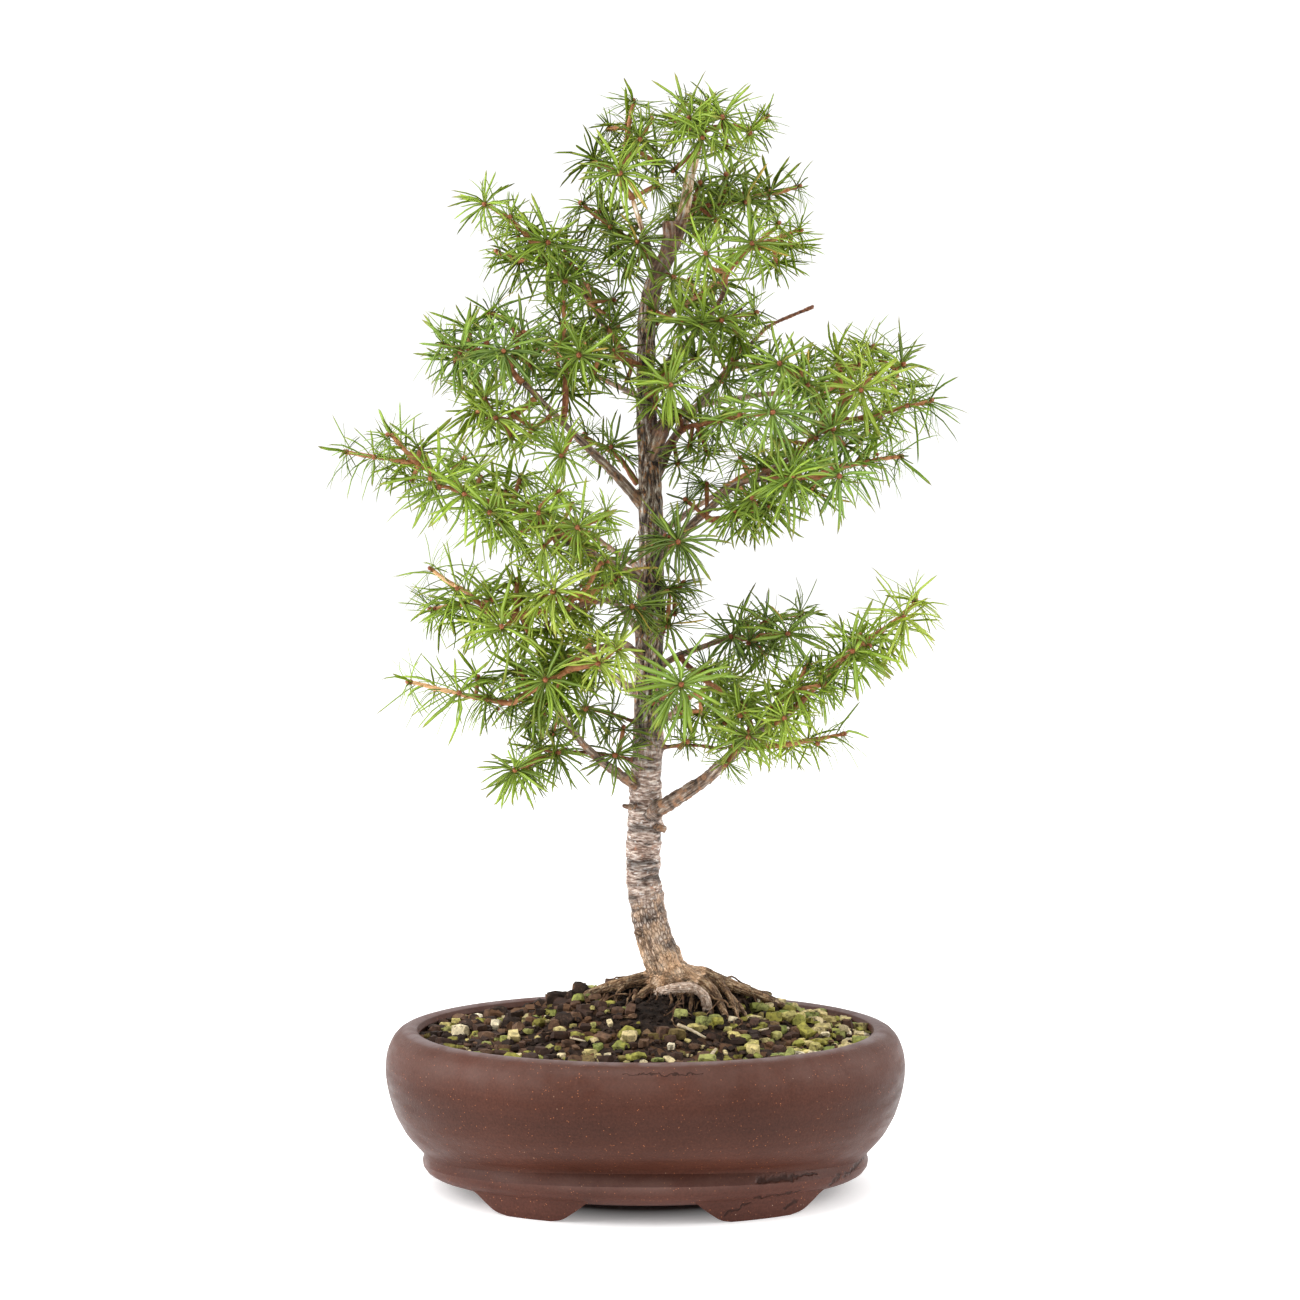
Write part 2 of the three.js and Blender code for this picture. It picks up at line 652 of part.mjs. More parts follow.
// A closed round rod along a route: a lathed spindle whose levels are carried to the route's points.
function rod(points, radii, sides, lead = null) {
  const last = points.length - 1;
  const profile = radii.map((radius, i) => new THREE.Vector2(radius, i));
  const outline = [new THREE.Vector2(0, 0), ...profile, new THREE.Vector2(0, last)];
  const spindle = new THREE.LatheGeometry(outline, sides);
  const frames = carry(points, lead);
  const place = spindle.getAttribute('position');
  for (let i = 0; i < place.count; i += 1) {
    const level = Math.round(place.getY(i));
    const at = points[level].clone()
      .addScaledVector(frames[level].across, place.getX(i))
      .addScaledVector(frames[level].up, place.getZ(i));
    place.setXYZ(i, at.x, at.y, at.z);
  }
  return toSolid(spindle);
}

// ---------------------------------------------------------------- room between the stems

// Where two straight stretches come closest, as shares along each, and how far apart they are there.
function closest(from1, to1, from2, to2) {
  const way1 = to1.clone().sub(from1);
  const way2 = to2.clone().sub(from2);
  const between = from1.clone().sub(from2);
  const a = way1.dot(way1);
  const b = way1.dot(way2);
  const c = way1.dot(between);
  const e = way2.dot(way2);
  const f = way2.dot(between);
  const spread = a * e - b * b;
  const clamp = THREE.MathUtils.clamp;
  let share1 = spread > 1e-9 ? clamp((b * f - c * e) / spread, 0, 1) : 0;
  let share2 = (b * share1 + f) / e;
  if (share2 < 0 || share2 > 1) {
    share2 = clamp(share2, 0, 1);
    share1 = clamp((b * share2 - c) / a, 0, 1);
  }
  const place1 = from1.clone().addScaledVector(way1, share1);
  const place2 = from2.clone().addScaledVector(way2, share2);
  return { share1, share2, far: place1.distanceTo(place2) };
}

// Every stem placed so far, so that the next one is kept clear of the others.
const stems = [];

function addStem(owner, from, to, radiusFrom, radiusTo) {
  const middle = from.clone().lerp(to, 0.5);
  const reach = middle.distanceTo(to) + Math.max(radiusFrom, radiusTo);
  stems.push({ owner, from, to, radiusFrom, radiusTo, middle, reach });
}

function addRoute(owner, points, radii) {
  for (let i = 1; i < points.length; i += 1) {
    addStem(owner, points[i - 1], points[i], radii[i - 1], radii[i]);
  }
}

// Whether a new stem keeps its gap to every stem but those of the owners that it may touch.
function isClear(from, to, radiusFrom, radiusTo, mayTouch) {
  const middle = from.clone().lerp(to, 0.5);
  const reach = middle.distanceTo(to) + Math.max(radiusFrom, radiusTo) + GAP;
  return stems.every((stem) => {
    if (mayTouch(stem.owner) || middle.distanceTo(stem.middle) > reach + stem.reach) return true;
    const { share1, share2, far } = closest(from, to, stem.from, stem.to);
    const filled = mix(radiusFrom, radiusTo, share1) + mix(stem.radiusFrom, stem.radiusTo, share2);
    return far - filled >= GAP;
  });
}

// ---------------------------------------------------------------- pot

function ovalDepth(halfWidth) {
  const ratio = (OVAL_LIMIT - OVAL_DIFFERENCE) / OVAL_LIMIT;
  return halfWidth > OVAL_LIMIT ? halfWidth - OVAL_DIFFERENCE : halfWidth * ratio;
}

// A lathed outline made oval. A lift function may raise its corners.
function ovalSolid(outline, lift = () => 0) {
  const lathe = new THREE.LatheGeometry(outline.map(([a, z]) => new THREE.Vector2(a, z)), OVAL_SIDES);
  const place = lathe.getAttribute('position');
  for (let i = 0; i < place.count; i += 1) {
    const halfWidth = Math.hypot(place.getX(i), place.getZ(i));
    const squash = halfWidth > 0 ? ovalDepth(halfWidth) / halfWidth : 1;
    const x = place.getX(i);
    const y = place.getZ(i) * squash;
    const z = place.getY(i);
    place.setXYZ(i, x, y, z + lift(x, y, halfWidth, z));
  }
  return toSolid(lathe);
}

// A block with an outline in x and height, deep enough to pass through the whole pot.
function crossBlock(outline) {
  const depth = 2 * ovalDepth(POT_WIDEST);
  const shape = new THREE.Shape(outline.map(([x, z]) => new THREE.Vector2(x, z)));
  const block = new THREE.ExtrudeGeometry(shape, { depth, bevelEnabled: false });
  block.rotateX(Math.PI / 2);
  block.translate(0, depth / 2, 0);
  return toSolid(block);
}

// Four feet: what two blocks, left and right, share with a ring under the pot.
function makeFeet() {
  const ring = ovalSolid([...FOOT_RING, FOOT_RING[0]]);
  const right = [...FOOT_INNER_EDGE, ...FOOT_OUTER_EDGE];
  const left = right.map(([x, z]) => [-x, z]).reverse();
  return ring.intersect(crossBlock(right).add(crossBlock(left)));
}

function makeDrainHole(x) {
  const hole = new THREE.CylinderGeometry(DRAIN_RADIUS, DRAIN_RADIUS, POT_FLOOR * 2, DRAIN_SIDES);
  hole.rotateX(Math.PI / 2);
  hole.translate(x, 0, POT_FLOOR);
  return toSolid(hole);
}

function makePot() {
  const bowl = ovalSolid([...POT_OUTSIDE, ...POT_INSIDE]);
  return bowl.add(makeFeet()).subtract(fuse(DRAIN_PLACES.map(makeDrainHole)));
}

// A square of plastic mesh that lies on the floor over a drain hole.
function makeDrainScreen(x) {
  const middle = POT_FLOOR + GAP + SCREEN_THICKNESS / 2;
  const plate = new THREE.BoxGeometry(SCREEN_SIDE, SCREEN_SIDE, SCREEN_THICKNESS).translate(x, 0, middle);
  const first = -SCREEN_PITCH * (SCREEN_HOLES - 1) / 2;
  let screen = toSolid(plate);
  for (let i = 0; i < SCREEN_HOLES; i += 1) {
    for (let j = 0; j < SCREEN_HOLES; j += 1) {
      const hole = new THREE.BoxGeometry(SCREEN_HOLE_SIDE, SCREEN_HOLE_SIDE, SCREEN_THICKNESS * 3);
      hole.translate(x + first + i * SCREEN_PITCH, first + j * SCREEN_PITCH, middle);
      screen = screen.subtract(toSolid(hole));
    }
  }
  return screen;
}

// ---------------------------------------------------------------- soil

// How far the mound rises above the level of the soil beside the lip.
function moundLift(x, y) {
  const away = ((x - MOUND.x) / MOUND.halfWidth) ** 2 + ((y - MOUND.y) / MOUND.halfDepth) ** 2;
  return MOUND.height * Math.exp(-(away ** MOUND.shoulder));
}

// The compost fills the pot, and its mounded top is crumbly.
function makeCompost(draw) {
  const rim = POT_INSIDE[0][0];
  const wall = POT_INSIDE.slice(0, -1).reverse().map(([a, z]) => [a - SOIL_GAP, z + SOIL_GAP]);
  const top = SOIL_RINGS.map((share) => [rim * share - SOIL_GAP, SOIL_LEVEL]);
  const outline = [[0, POT_FLOOR + SOIL_GAP], ...wall, ...top, [0, SOIL_LEVEL]];
  const bumps = new Map();
  return ovalSolid(outline, (x, y, halfWidth, z) => {
    if (z < SOIL_LEVEL - GAP) return 0;
    const spot = `${Math.round(x * 50)} ${Math.round(y * 50)}`;
    if (!bumps.has(spot)) bumps.set(spot, mix(-SOIL_ROUGHNESS, SOIL_ROUGHNESS, draw()));
    const isEdge = halfWidth > rim - 2 * SOIL_GAP;
    return moundLift(x, y) + (isEdge ? 0 : bumps.get(spot));
  });
}

// A stone of grit lying half sunk in the compost, at its own step of a spiral over the whole top.
function makeGrain(draw, index) {
  const share = Math.sqrt((index + 0.5) / GRAINS);
  const reach = mix(GRAINS_FROM, GRAINS_TO, share) * POT_INSIDE[0][0];
  const x = Math.cos(index * GOLDEN_TURN) * reach;
  const y = Math.sin(index * GOLDEN_TURN) * ovalDepth(reach);
  const size = mix(GRAIN_SMALL, GRAIN_LARGE, draw());
  const grain = new THREE.OctahedronGeometry(size);
  grain.scale(1, mix(0.7, 1, draw()), GRAIN_FLATNESS);
  grain.rotateX(draw() - 0.5);
  grain.rotateZ(draw() * Math.PI);
  grain.translate(x, y, SOIL_LEVEL + moundLift(x, y));
  return toSolid(grain);
}

// The room that a drain screen takes from the underside of the soil.
function makeScreenRoom(x) {
  const side = SCREEN_SIDE + 2 * GAP;
  const height = 2 * (SCREEN_THICKNESS + 2 * GAP);
  return toSolid(new THREE.BoxGeometry(side, side, height).translate(x, 0, POT_FLOOR + GAP));
}

function makeSoil() {
  const draw = seededDraw(11);
  const grains = Array.from({ length: GRAINS }, (_, index) => makeGrain(draw, index));
  const rooms = [...makeSockets(), ...DRAIN_PLACES.map(makeScreenRoom)];
  return fuse([makeCompost(draw), ...grains]).subtract(fuse(rooms));
}

// ---------------------------------------------------------------- wood

// The rods of the trunk and the roots, or of the limbs, with their radii made wider by extra.
function stockRods(extra) {
  const radii = TRUNK.map((point) => point[3] + extra);
  const trunk = { points: TRUNK.map(vector), radii, sides: TRUNK_SIDES };
  return [trunk, ...ROOTS.map((root) => branchRod(root, extra))];
}

function branchRod({ route, thick }, extra = 0) {
  const radii = taper(thick[0] + extra, thick[1] + extra, route.length);
  return { points: route.map(vector), radii, sides: LIMB_SIDES };
}

function makeWood() {
  const rods = [...stockRods(0), ...LIMBS.map((limb) => branchRod(limb))];
  rods.forEach(({ points, radii }) => addRoute('wood', points, radii));
  return fuse(rods.map(({ points, radii, sides }) => rod(points, radii, sides)));
}

// What the trunk and the roots leave open in the soil, with room past both ends of each.
function makeSockets() {
  return stockRods(SOCKET_GAP).map(({ points, radii, sides }) => {
    const before = points[0].clone().sub(points[1]).setLength(SOCKET_GAP).add(points[0]);
    const after = points.at(-1).clone().sub(points.at(-2)).setLength(SOCKET_GAP).add(points.at(-1));
    return rod([before, ...points.slice(1, -1), after], radii, sides);
  });
}

// ---------------------------------------------------------------- leafy sprays

// The way that a limb's end faces where a route begins at it, or null where the route leaves a side.
function limbLead(start) {
  const ends = [TRUNK, ...LIMBS.map((limb) => limb.route)].map((route) => route.slice(-2).map(vector));
  const found = ends.find(([, end]) => end.distanceTo(start) < END_REACH);
  return found ? found[1].clone().sub(found[0]).normalize() : null;
}

function lineThrough(points) {
  const line = new THREE.CurvePath();
  for (let i = 1; i < points.length; i += 1) line.add(new THREE.LineCurve3(points[i - 1], points[i]));
  return line;
}

// Whether a flat end of this radius, facing this way, stands clear of the wood all round its rim.
function endStandsClear(place, way, radius) {
  const arm = new THREE.Vector3(0.31, 0.52, 0.79).cross(way).setLength(radius);
  return taper(0, Math.PI * 2, 7).every((turn) => {
    const corner = arm.clone().applyAxisAngle(way, turn).add(place);
    return isClear(corner, corner.clone().addScaledVector(way, 0.01), 0, 0, (owner) => owner !== 'wood');
  });
}

// Trims a spray's first twig so that its flat end stands just clear of the wood that bears it.
function seatTwig(points, radius) {
  const lead = limbLead(points[0]);
  if (lead) return { points: [points[0].clone().addScaledVector(lead, GAP), ...points.slice(1)], lead };
  const line = lineThrough(points);
  const length = line.getLength();
  for (let away = SEAT_STEP; away < length; away += SEAT_STEP) {
    const place = line.getPointAt(away / length);
    if (endStandsClear(place, line.getTangentAt(away / length), radius)) {
      const passed = line.getCurveLengths();
      const rest = points.slice(1).filter((_, i) => passed[i] > away + SEAT_ROOM);
      return { points: [place, ...rest], lead: null };
    }
  }
  throw new Error('a twig never leaves its limb');
}

function layTwigs({ name, twigs }) {
  return twigs.map((route, i) => {
    const isFirst = i === 0;
    const radius = TWIG_RADIUS + (isFirst ? FIRST_TWIG_EXTRA : 0);
    const whole = route.map(vector);
    const { points, lead } = isFirst ? seatTwig(whole, radius) : { points: whole, lead: null };
    const radii = taper(radius, TWIG_TIP, points.length);
    if (!isFirst) radii[0] = TWIG_FOOT;
    addRoute(name, points, radii);
    return { points, radii, lead, frames: carry(points, lead) };
  });
}

// The place on a spray's twigs nearest to a point, with the twig's own way and upper side there.
function nearestTwig(twigs, point) {
  let best = { far: Infinity };
  twigs.forEach(({ points, frames }) => {
    for (let i = 1; i < points.length; i += 1) {
      const line = new THREE.Line3(points[i - 1], points[i]);
      const at = line.closestPointToPoint(point, true, new THREE.Vector3());
      const far = at.distanceTo(point);
      const way = line.delta(new THREE.Vector3()).normalize();
      if (far < best.far - 1e-6) best = { at, far, way, up: frames[i].up };
    }
  });
  return best;
}

// The tip of a needle that grows outwards from a hub, or null where it has no room at any length.
function needleTip(owner, mine, centre, out, reach, draw) {
  for (let attempt = 0; attempt < NEEDLE_TRIES * NEEDLE_SHARES.length; attempt += 1) {
    const length = reach * NEEDLE_SHARES[Math.floor(attempt / NEEDLE_TRIES)] * mix(0.9, 1, draw());
    const lean = NEEDLE_LEAN * mix(0.3, 1, (attempt % NEEDLE_TRIES) / NEEDLE_TRIES);
    const drift = new THREE.Vector3(draw() - 0.5, draw() - 0.5, draw() - 0.5).setLength(lean);
    const way = out.clone().add(drift).normalize();
    const [from, knee, tip] = [HUB_RADIUS, length * NEEDLE_BARE, length].map((far) => (
      centre.clone().addScaledVector(way, far)
    ));
    const isOwn = (other) => other === mine || other === owner;
    const isMine = (other) => other === mine;
    if (isClear(from, tip, NEEDLE_RADIUS, NEEDLE_TIP, isOwn)
      && isClear(knee, tip, NEEDLE_RADIUS, NEEDLE_TIP, isMine)) {
      addStem(mine, from, tip, NEEDLE_RADIUS, NEEDLE_TIP);
      return tip;
    }
  }
  return null;
}

// A tuft: a hub of nine sides round its axis, each of which grows a needle where there is room.
// Off its twig, the hub runs out below into a short spur whose foot is sunk in the twig.
function makeTuft(owner, twigs, star, draw) {
  const centre = vector(star);
  const base = nearestTwig(twigs, centre);
  const stands = base.far > HUB_RADIUS;
  const axis = stands ? centre.clone().sub(base.at).normalize() : base.way;
  if (stands) {
    const isOwn = (other) => other.split(':')[0] === owner;
    if (!isClear(base.at, centre, SPUR_RADIUS, SPUR_RADIUS, isOwn)) return [];
    addStem(owner, base.at, centre, SPUR_RADIUS, SPUR_RADIUS);
  }
  const mine = `${owner}:${stems.length}`;
  const side = stands ? new THREE.Vector3(0.37, 0.61, 0.7).cross(axis).normalize() : base.up;
  const firstTurn = stands ? draw() * Math.PI : THIRD_TURN / 2;
  const ring = (middle, polar, radius, turn) => [0, 1, 2].map((i) => middle.clone()
    .addScaledVector(axis, radius * Math.cos(polar))
    .addScaledVector(side.clone().applyAxisAngle(axis, turn + i * THIRD_TURN), radius * Math.sin(polar)));
  const top = centre.clone().addScaledVector(axis, HUB_RADIUS);
  const upper = ring(centre, HUB_UPPER, HUB_RADIUS, firstTurn);
  const lower = ring(centre, HUB_LOWER, HUB_RADIUS, firstTurn + THIRD_TURN / 2);
  const foot = stands ? ring(base.at, Math.PI / 2, SPUR_FOOT, firstTurn + THIRD_TURN / 2) : lower;
  const corners = [...foot].reverse();
  [[0, 1], [1, 2], [2, 0]].forEach(([i, j]) => {
    if (stands) corners.push(lower[i], foot[i], foot[j], lower[i], foot[j], lower[j]);
    const sides = [[top, upper[i], upper[j]], [upper[i], lower[i], upper[j]], [lower[i], lower[j], upper[j]]];
    sides.forEach(([a, b, c]) => {
      const out = a.clone().add(b).add(c).divideScalar(3).sub(centre).normalize();
      const tip = needleTip(owner, mine, centre, out, star[3], draw);
      corners.push(...(tip ? [a, b, tip, b, c, tip, c, a, tip] : [a, b, c]));
    });
  });
  return [toSolid(new THREE.BufferGeometry().setFromPoints(corners))];
}

function makeSpray(spray, twigs, draw) {
  const branches = twigs.map(({ points, radii, lead }) => rod(points, radii, TWIG_SIDES, lead));
  const tufts = spray.stars.flatMap((star) => makeTuft(spray.name, twigs, star, draw));
  return fuse([...branches, ...tufts]);
}

// ---------------------------------------------------------------- finishes

function finish(color, roughness) {
  return new THREE.MeshStandardMaterial({ color, roughness, metalness: 0 });
}

const brownClay = () => finish(0x5a3a2e, 0.72);
const blackPlastic = () => finish(0x1d1f20, 0.6);
const darkCompost = () => finish(0x33261c, 0.95);
const greyBrownBark = () => finish(0x7c6654, 0.85);
const freshNeedles = () => finish(0x6f9a3a, 0.6);

// ---------------------------------------------------------------- the whole bonsai

function makeBonsai() {
  const bonsai = new THREE.Group();
  bonsai.add(named('pot', makePot(), brownClay()));
  DRAIN_PLACES.forEach((x) => {
    bonsai.add(named(`drain_screen_${x < 0 ? 'left' : 'right'}`, makeDrainScreen(x), blackPlastic()));
  });
  bonsai.add(named('soil', makeSoil(), darkCompost()));
  bonsai.add(named('trunk_and_limbs', makeWood(), greyBrownBark()));
  const laid = SPRAYS.map(layTwigs);
  SPRAYS.forEach((spray, index) => {
    const draw = seededDraw(500 + index * 17);
    bonsai.add(named(`spray_${spray.name}`, makeSpray(spray, laid[index], draw), freshNeedles()));
  });
  return bonsai;
}

export default makeBonsai();
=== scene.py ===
"""Larch bonsai: a young larch with leafy shoots and open roots, standing in a mound of gritty
compost in an oval, footed clay pot.

It runs as a script in Blender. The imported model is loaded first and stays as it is, and every piece
made here lies in the same frame, in metres, with +Z up. Sizes and places are written in
millimetres, and each finished piece is brought to metres at its end.
"""

import math
import random

import bmesh
import bpy
from bpy.props import FloatProperty, FloatVectorProperty, IntProperty, PointerProperty
from mathutils import Matrix, Vector, noise
from mathutils.kdtree import KDTree


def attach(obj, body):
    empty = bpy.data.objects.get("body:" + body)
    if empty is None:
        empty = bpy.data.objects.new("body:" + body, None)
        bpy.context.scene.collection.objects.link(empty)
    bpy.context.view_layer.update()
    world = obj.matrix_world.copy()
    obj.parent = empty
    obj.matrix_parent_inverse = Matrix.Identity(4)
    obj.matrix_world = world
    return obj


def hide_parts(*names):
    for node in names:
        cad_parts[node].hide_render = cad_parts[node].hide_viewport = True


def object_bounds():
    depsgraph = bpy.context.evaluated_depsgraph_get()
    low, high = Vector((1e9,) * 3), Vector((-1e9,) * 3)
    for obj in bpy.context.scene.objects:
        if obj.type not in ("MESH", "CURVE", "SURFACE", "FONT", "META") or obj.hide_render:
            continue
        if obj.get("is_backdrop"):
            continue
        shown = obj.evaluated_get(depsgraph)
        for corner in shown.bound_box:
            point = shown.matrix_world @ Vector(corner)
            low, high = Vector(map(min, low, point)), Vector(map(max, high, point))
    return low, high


bl_info = {
    "name": "Larch Bonsai",
    "version": (1, 0, 0),
    "blender": (4, 5, 0),
    "location": "View3D > Sidebar > Larch Bonsai",
    "description": "Makes a larch bonsai in a footed clay pot around its packed model",
    "category": "Add Mesh",
}

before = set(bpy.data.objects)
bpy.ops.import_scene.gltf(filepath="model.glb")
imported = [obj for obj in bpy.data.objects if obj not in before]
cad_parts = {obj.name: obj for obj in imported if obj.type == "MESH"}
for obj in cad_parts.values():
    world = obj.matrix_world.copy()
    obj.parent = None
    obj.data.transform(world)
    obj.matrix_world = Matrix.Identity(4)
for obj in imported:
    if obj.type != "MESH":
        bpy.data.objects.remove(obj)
MODEL_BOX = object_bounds()

# ---------------------------------------------------------------- sizes, in millimetres

MM = 0.001
BODY = "root"
GOLDEN_TURN = math.pi * (3 - math.sqrt(5))
UP = Vector((0, 0, 1))
noise.seed_set(5)  # without it, the ways that stems and grains stray would differ from run to run

# The pot is oval: at every level its half depth is this much less than its half width.
OVAL_DIFFERENCE = 21
OVAL_LIMIT = 60  # within this half width the oval keeps one ratio down to its middle
POT_SIDES = 176

# Half width and height down the inside of the pot, from below its lip to the middle of its floor.
POT_INSIDE = [(95.4, 60.6), (99, 49), (96.6, 35), (90, 23), (80, 16.6), (66, 15), (30, 15), (0, 15)]
POT_WALL_POINTS = 5  # of these, from the top, which lie on the wall
# The same round the whole section, in smooth runs that meet at its corners.
POT_SECTION = [
    [(0, 9), (40, 9), (77, 9)],
    [(77, 9), (79.5, 6.6)],
    [(79.5, 6.6), (84, 6.4), (88.2, 6.6), (90.9, 7.7), (92.1, 9.4), (92.4, 11.2), (91.8, 12.9), (91.7, 14),
     (93, 15.8), (95.6, 18.6), (99.2, 23), (101.4, 26.8), (103.7, 31.4), (106.2, 39.5), (107.5, 48.2),
     (106.8, 56), (104, 62.4), (100.5, 65.2), (97, 65.9), (94.6, 65.2), (93.6, 63.2), (95.4, 60.6)],
    POT_INSIDE,
]
# At the front and the back the ring is taller and stands further out than at the ends of the oval.
RING_RISE = 7
RING_SWELL = 3.8
RING_RISE_SPAN = (4.2, 14.2, 38)  # heights where the rise begins, is greatest and ends
RING_SWELL_SPAN = (6.6, 10.6, 15)
POT_STEP = 1.8  # between the levels of a smooth run
POT_FLOOR = 15
POT_RIM = 95.4  # half width inside the lip

FOOT_RING = [(77, 0), (89.4, 0), (90.8, 9.4), (79, 9.4)]  # section of the ring the feet are cut from
# The outline of the right front foot from the side: x and height.
FOOT_INNER_EDGE = [(19, 9.4), (22.4, 6.4), (26.2, 3.4), (29.8, 1), (34, 0)]
FOOT_OUTER_EDGE = [(57.5, 0), (62.5, 1.2), (66.5, 4), (70, 6.9), (74.5, 9.4)]
LEFT_FOOT_SLIMNESS = 3  # by which the left feet are narrower at either edge
FOOT_ROUNDING = 1.3
FOOT_SOFT_BELOW = 9  # height under which the edges of the feet are rounded
FOOT_SOFT_ANGLE = 40  # and the angle in degrees from which they are
# Ragged open lines in the clay, seen from the front: two ends in x and z, and half the width.
CRACKS = [
    ((44, 17), (58, 16), 1.5), ((56, 16.4), (68, 15.6), 0.7), ((74, 10), (78, 13), 1.1),
    ((80, 12), (90, 15), 0.9), ((31, 3), (41, 7.4), 0.8), ((43, 9), (62, 10), 0.6),
    ((55, 3.4), (60, 5.6), 1.1), ((-8, 62.6), (22, 62.4), 0.28),
]
CRACK_STRAY = 4  # how far a crack strays from its line
# Tiny specks in the clay: space between them, reach as a share of it, and colour.
CLAY_SPECKS = [(1.3, 0.13, (0.40, 0.13, 0.05)), (3.1, 0.05, (0.46, 0.27, 0.18))]
CUT_DEPTH = 200  # deep enough to pass through the whole pot
DRAIN_RADIUS = 8
DRAIN_PLACES = [-36, 36]

SOIL_LEVEL = 61.2
MOUND_MIDDLE = Vector((8, 4))
MOUND_HALF_WIDTH = 55
MOUND_HALF_DEPTH = 42
MOUND_HEIGHT = 20.6
MOUND_SHOULDER = 1.4
SOIL_GAP = 0.5
SOIL_BOTTOM = (64, 16.6)  # half width and height of its flat underside
SOIL_VOXEL = 1.5
SHADED_MIDDLE = (14, -8, 76)  # round which painted shade darkens the compost most, under the roots
GRIT_SHAPES = 14
GRIT_SIZES = (1.9, 2.4, 2.8, 3.2, 3.7, 4.2, 5.2)
GRIT_LIP_GAP = 2.6
CRUMB_SHAPES = 5
CRUMB_LIP_GAP = 1.6
CLODS = 30  # large crumbs on the left
CLOD_MIDDLE = (-52, 6)
CLOD_SPREAD = (13, 14)
CLOD_SIZE = (3.5, 6.5)
# Hollows in the compost between the roots: x, y, reach and depth.
HOLLOWS = [(29, -10, 11, 6.5), (42, -7, 9, 5), (-9, -6, 9, 4.5), (16, -18, 8, 2.5)]

# Shapes of needle, as shares of its length: its width, how far it bends edgewise and flatwise, and
# how far it waves.
BROAD_NEEDLES = [
    (0.080, 0.03, -0.07, 0.04), (0.072, 0.18, -0.10, -0.04), (0.074, -0.18, -0.09, 0.03),
    (0.086, 0.06, 0.06, -0.05), (0.068, 0.34, -0.16, 0.04), (0.068, -0.34, -0.18, -0.03),
    (0.075, -0.07, -0.34, 0.05), (0.066, 0.08, -0.48, -0.04), (0.072, -0.11, 0.13, 0.05),
    (0.066, 0.46, 0.03, -0.04), (0.066, -0.46, 0.0, 0.05), (0.098, -0.04, -0.14, 0.03),
]
FINE_NEEDLES = [
    (0.038, 0.36, -0.14, 0.05), (0.036, -0.36, -0.16, -0.04), (0.040, 0.14, -0.48, 0.03),
    (0.038, -0.16, -0.44, -0.05), (0.033, 0.52, -0.24, 0.04), (0.033, -0.52, -0.22, 0.05),
    (0.040, 0.07, 0.22, -0.05),
]
NEEDLE_LEVELS = [(0, 0.6), (0.3, 0.96), (0.6, 1), (0.88, 0.8), (1, 0.04)]  # share of its length and width
NEEDLE_THICKNESS = 0.4  # as a share of its width
NEEDLE_WIDTH_KEPT = 0.96  # of the width of its shape
NEEDLE_WAVE_KEPT = 0.4  # of the wave of its shape
NEEDLE_FOOT = 0.7  # distance from the middle of a tuft at which its needles begin
TUFT_REACH_KEPT = 0.92  # of a large tuft's reach in the model, which is measured to its longest needles' tips
TWIG_SIDES = 8
TWIG_THICKNESS = (1.3, 1.15, 0.72)  # radius at the foot of the first twig and of the others, and at a tip
TWIG_STEP = 1.3
TWIG_STRAY = (12, 0.7)  # over what distance a twig strays, and how far
YOUNG_REACH = 44  # distance from a twig's tip over which its bark turns from orange to brown
SPUR_FROM = 1.2  # distance from its twig at which a large tuft stands on a spur
SPUR_THICKNESS = (0.8, 1)
LARGE_BUD = 2.2
SMALL_BUD = 1.5
SMALL_TUFT_OFF = 1.4  # distance from a twig's bark to the middle of a small tuft
TUFT_CLEAR = 5.6  # least distance between a small tuft and any other
FRONT_LEFT_FREE = -0.55  # share of the way straight to the front past which no small tuft points
LONGEST_SINGLE = 19  # of the needles that stand alone along a twig
FINE_FROM = 58  # distance from the trunk at which needles begin to be fine
FINE_OVER = 34  # and over which they become so

# The trunk from its foot in the soil to the base of the top shoot: place, then radius.
TRUNK = [
    (15, 4, 56, 12), (14, 4, 68, 11.6), (12, 3, 78, 10.8), (9.5, 3, 86, 9), (6, 3, 95, 7.9),
    (2.4, 4, 106, 7.4), (-0.6, 5, 126, 7.1), (0, 4, 151, 7.2), (1, 2, 180, 6.5), (2, 0, 222, 5.9),
    (2, -2, 259, 5.3), (1, -3, 304, 4.4), (0.4, -2, 345, 3.8), (2.4, 0, 369, 3.6), (9, 0, 383, 3.1),
    (15.4, -1, 400, 2.6), (18.6, -2, 416, 2.2), (21, -4, 425, 2),
]

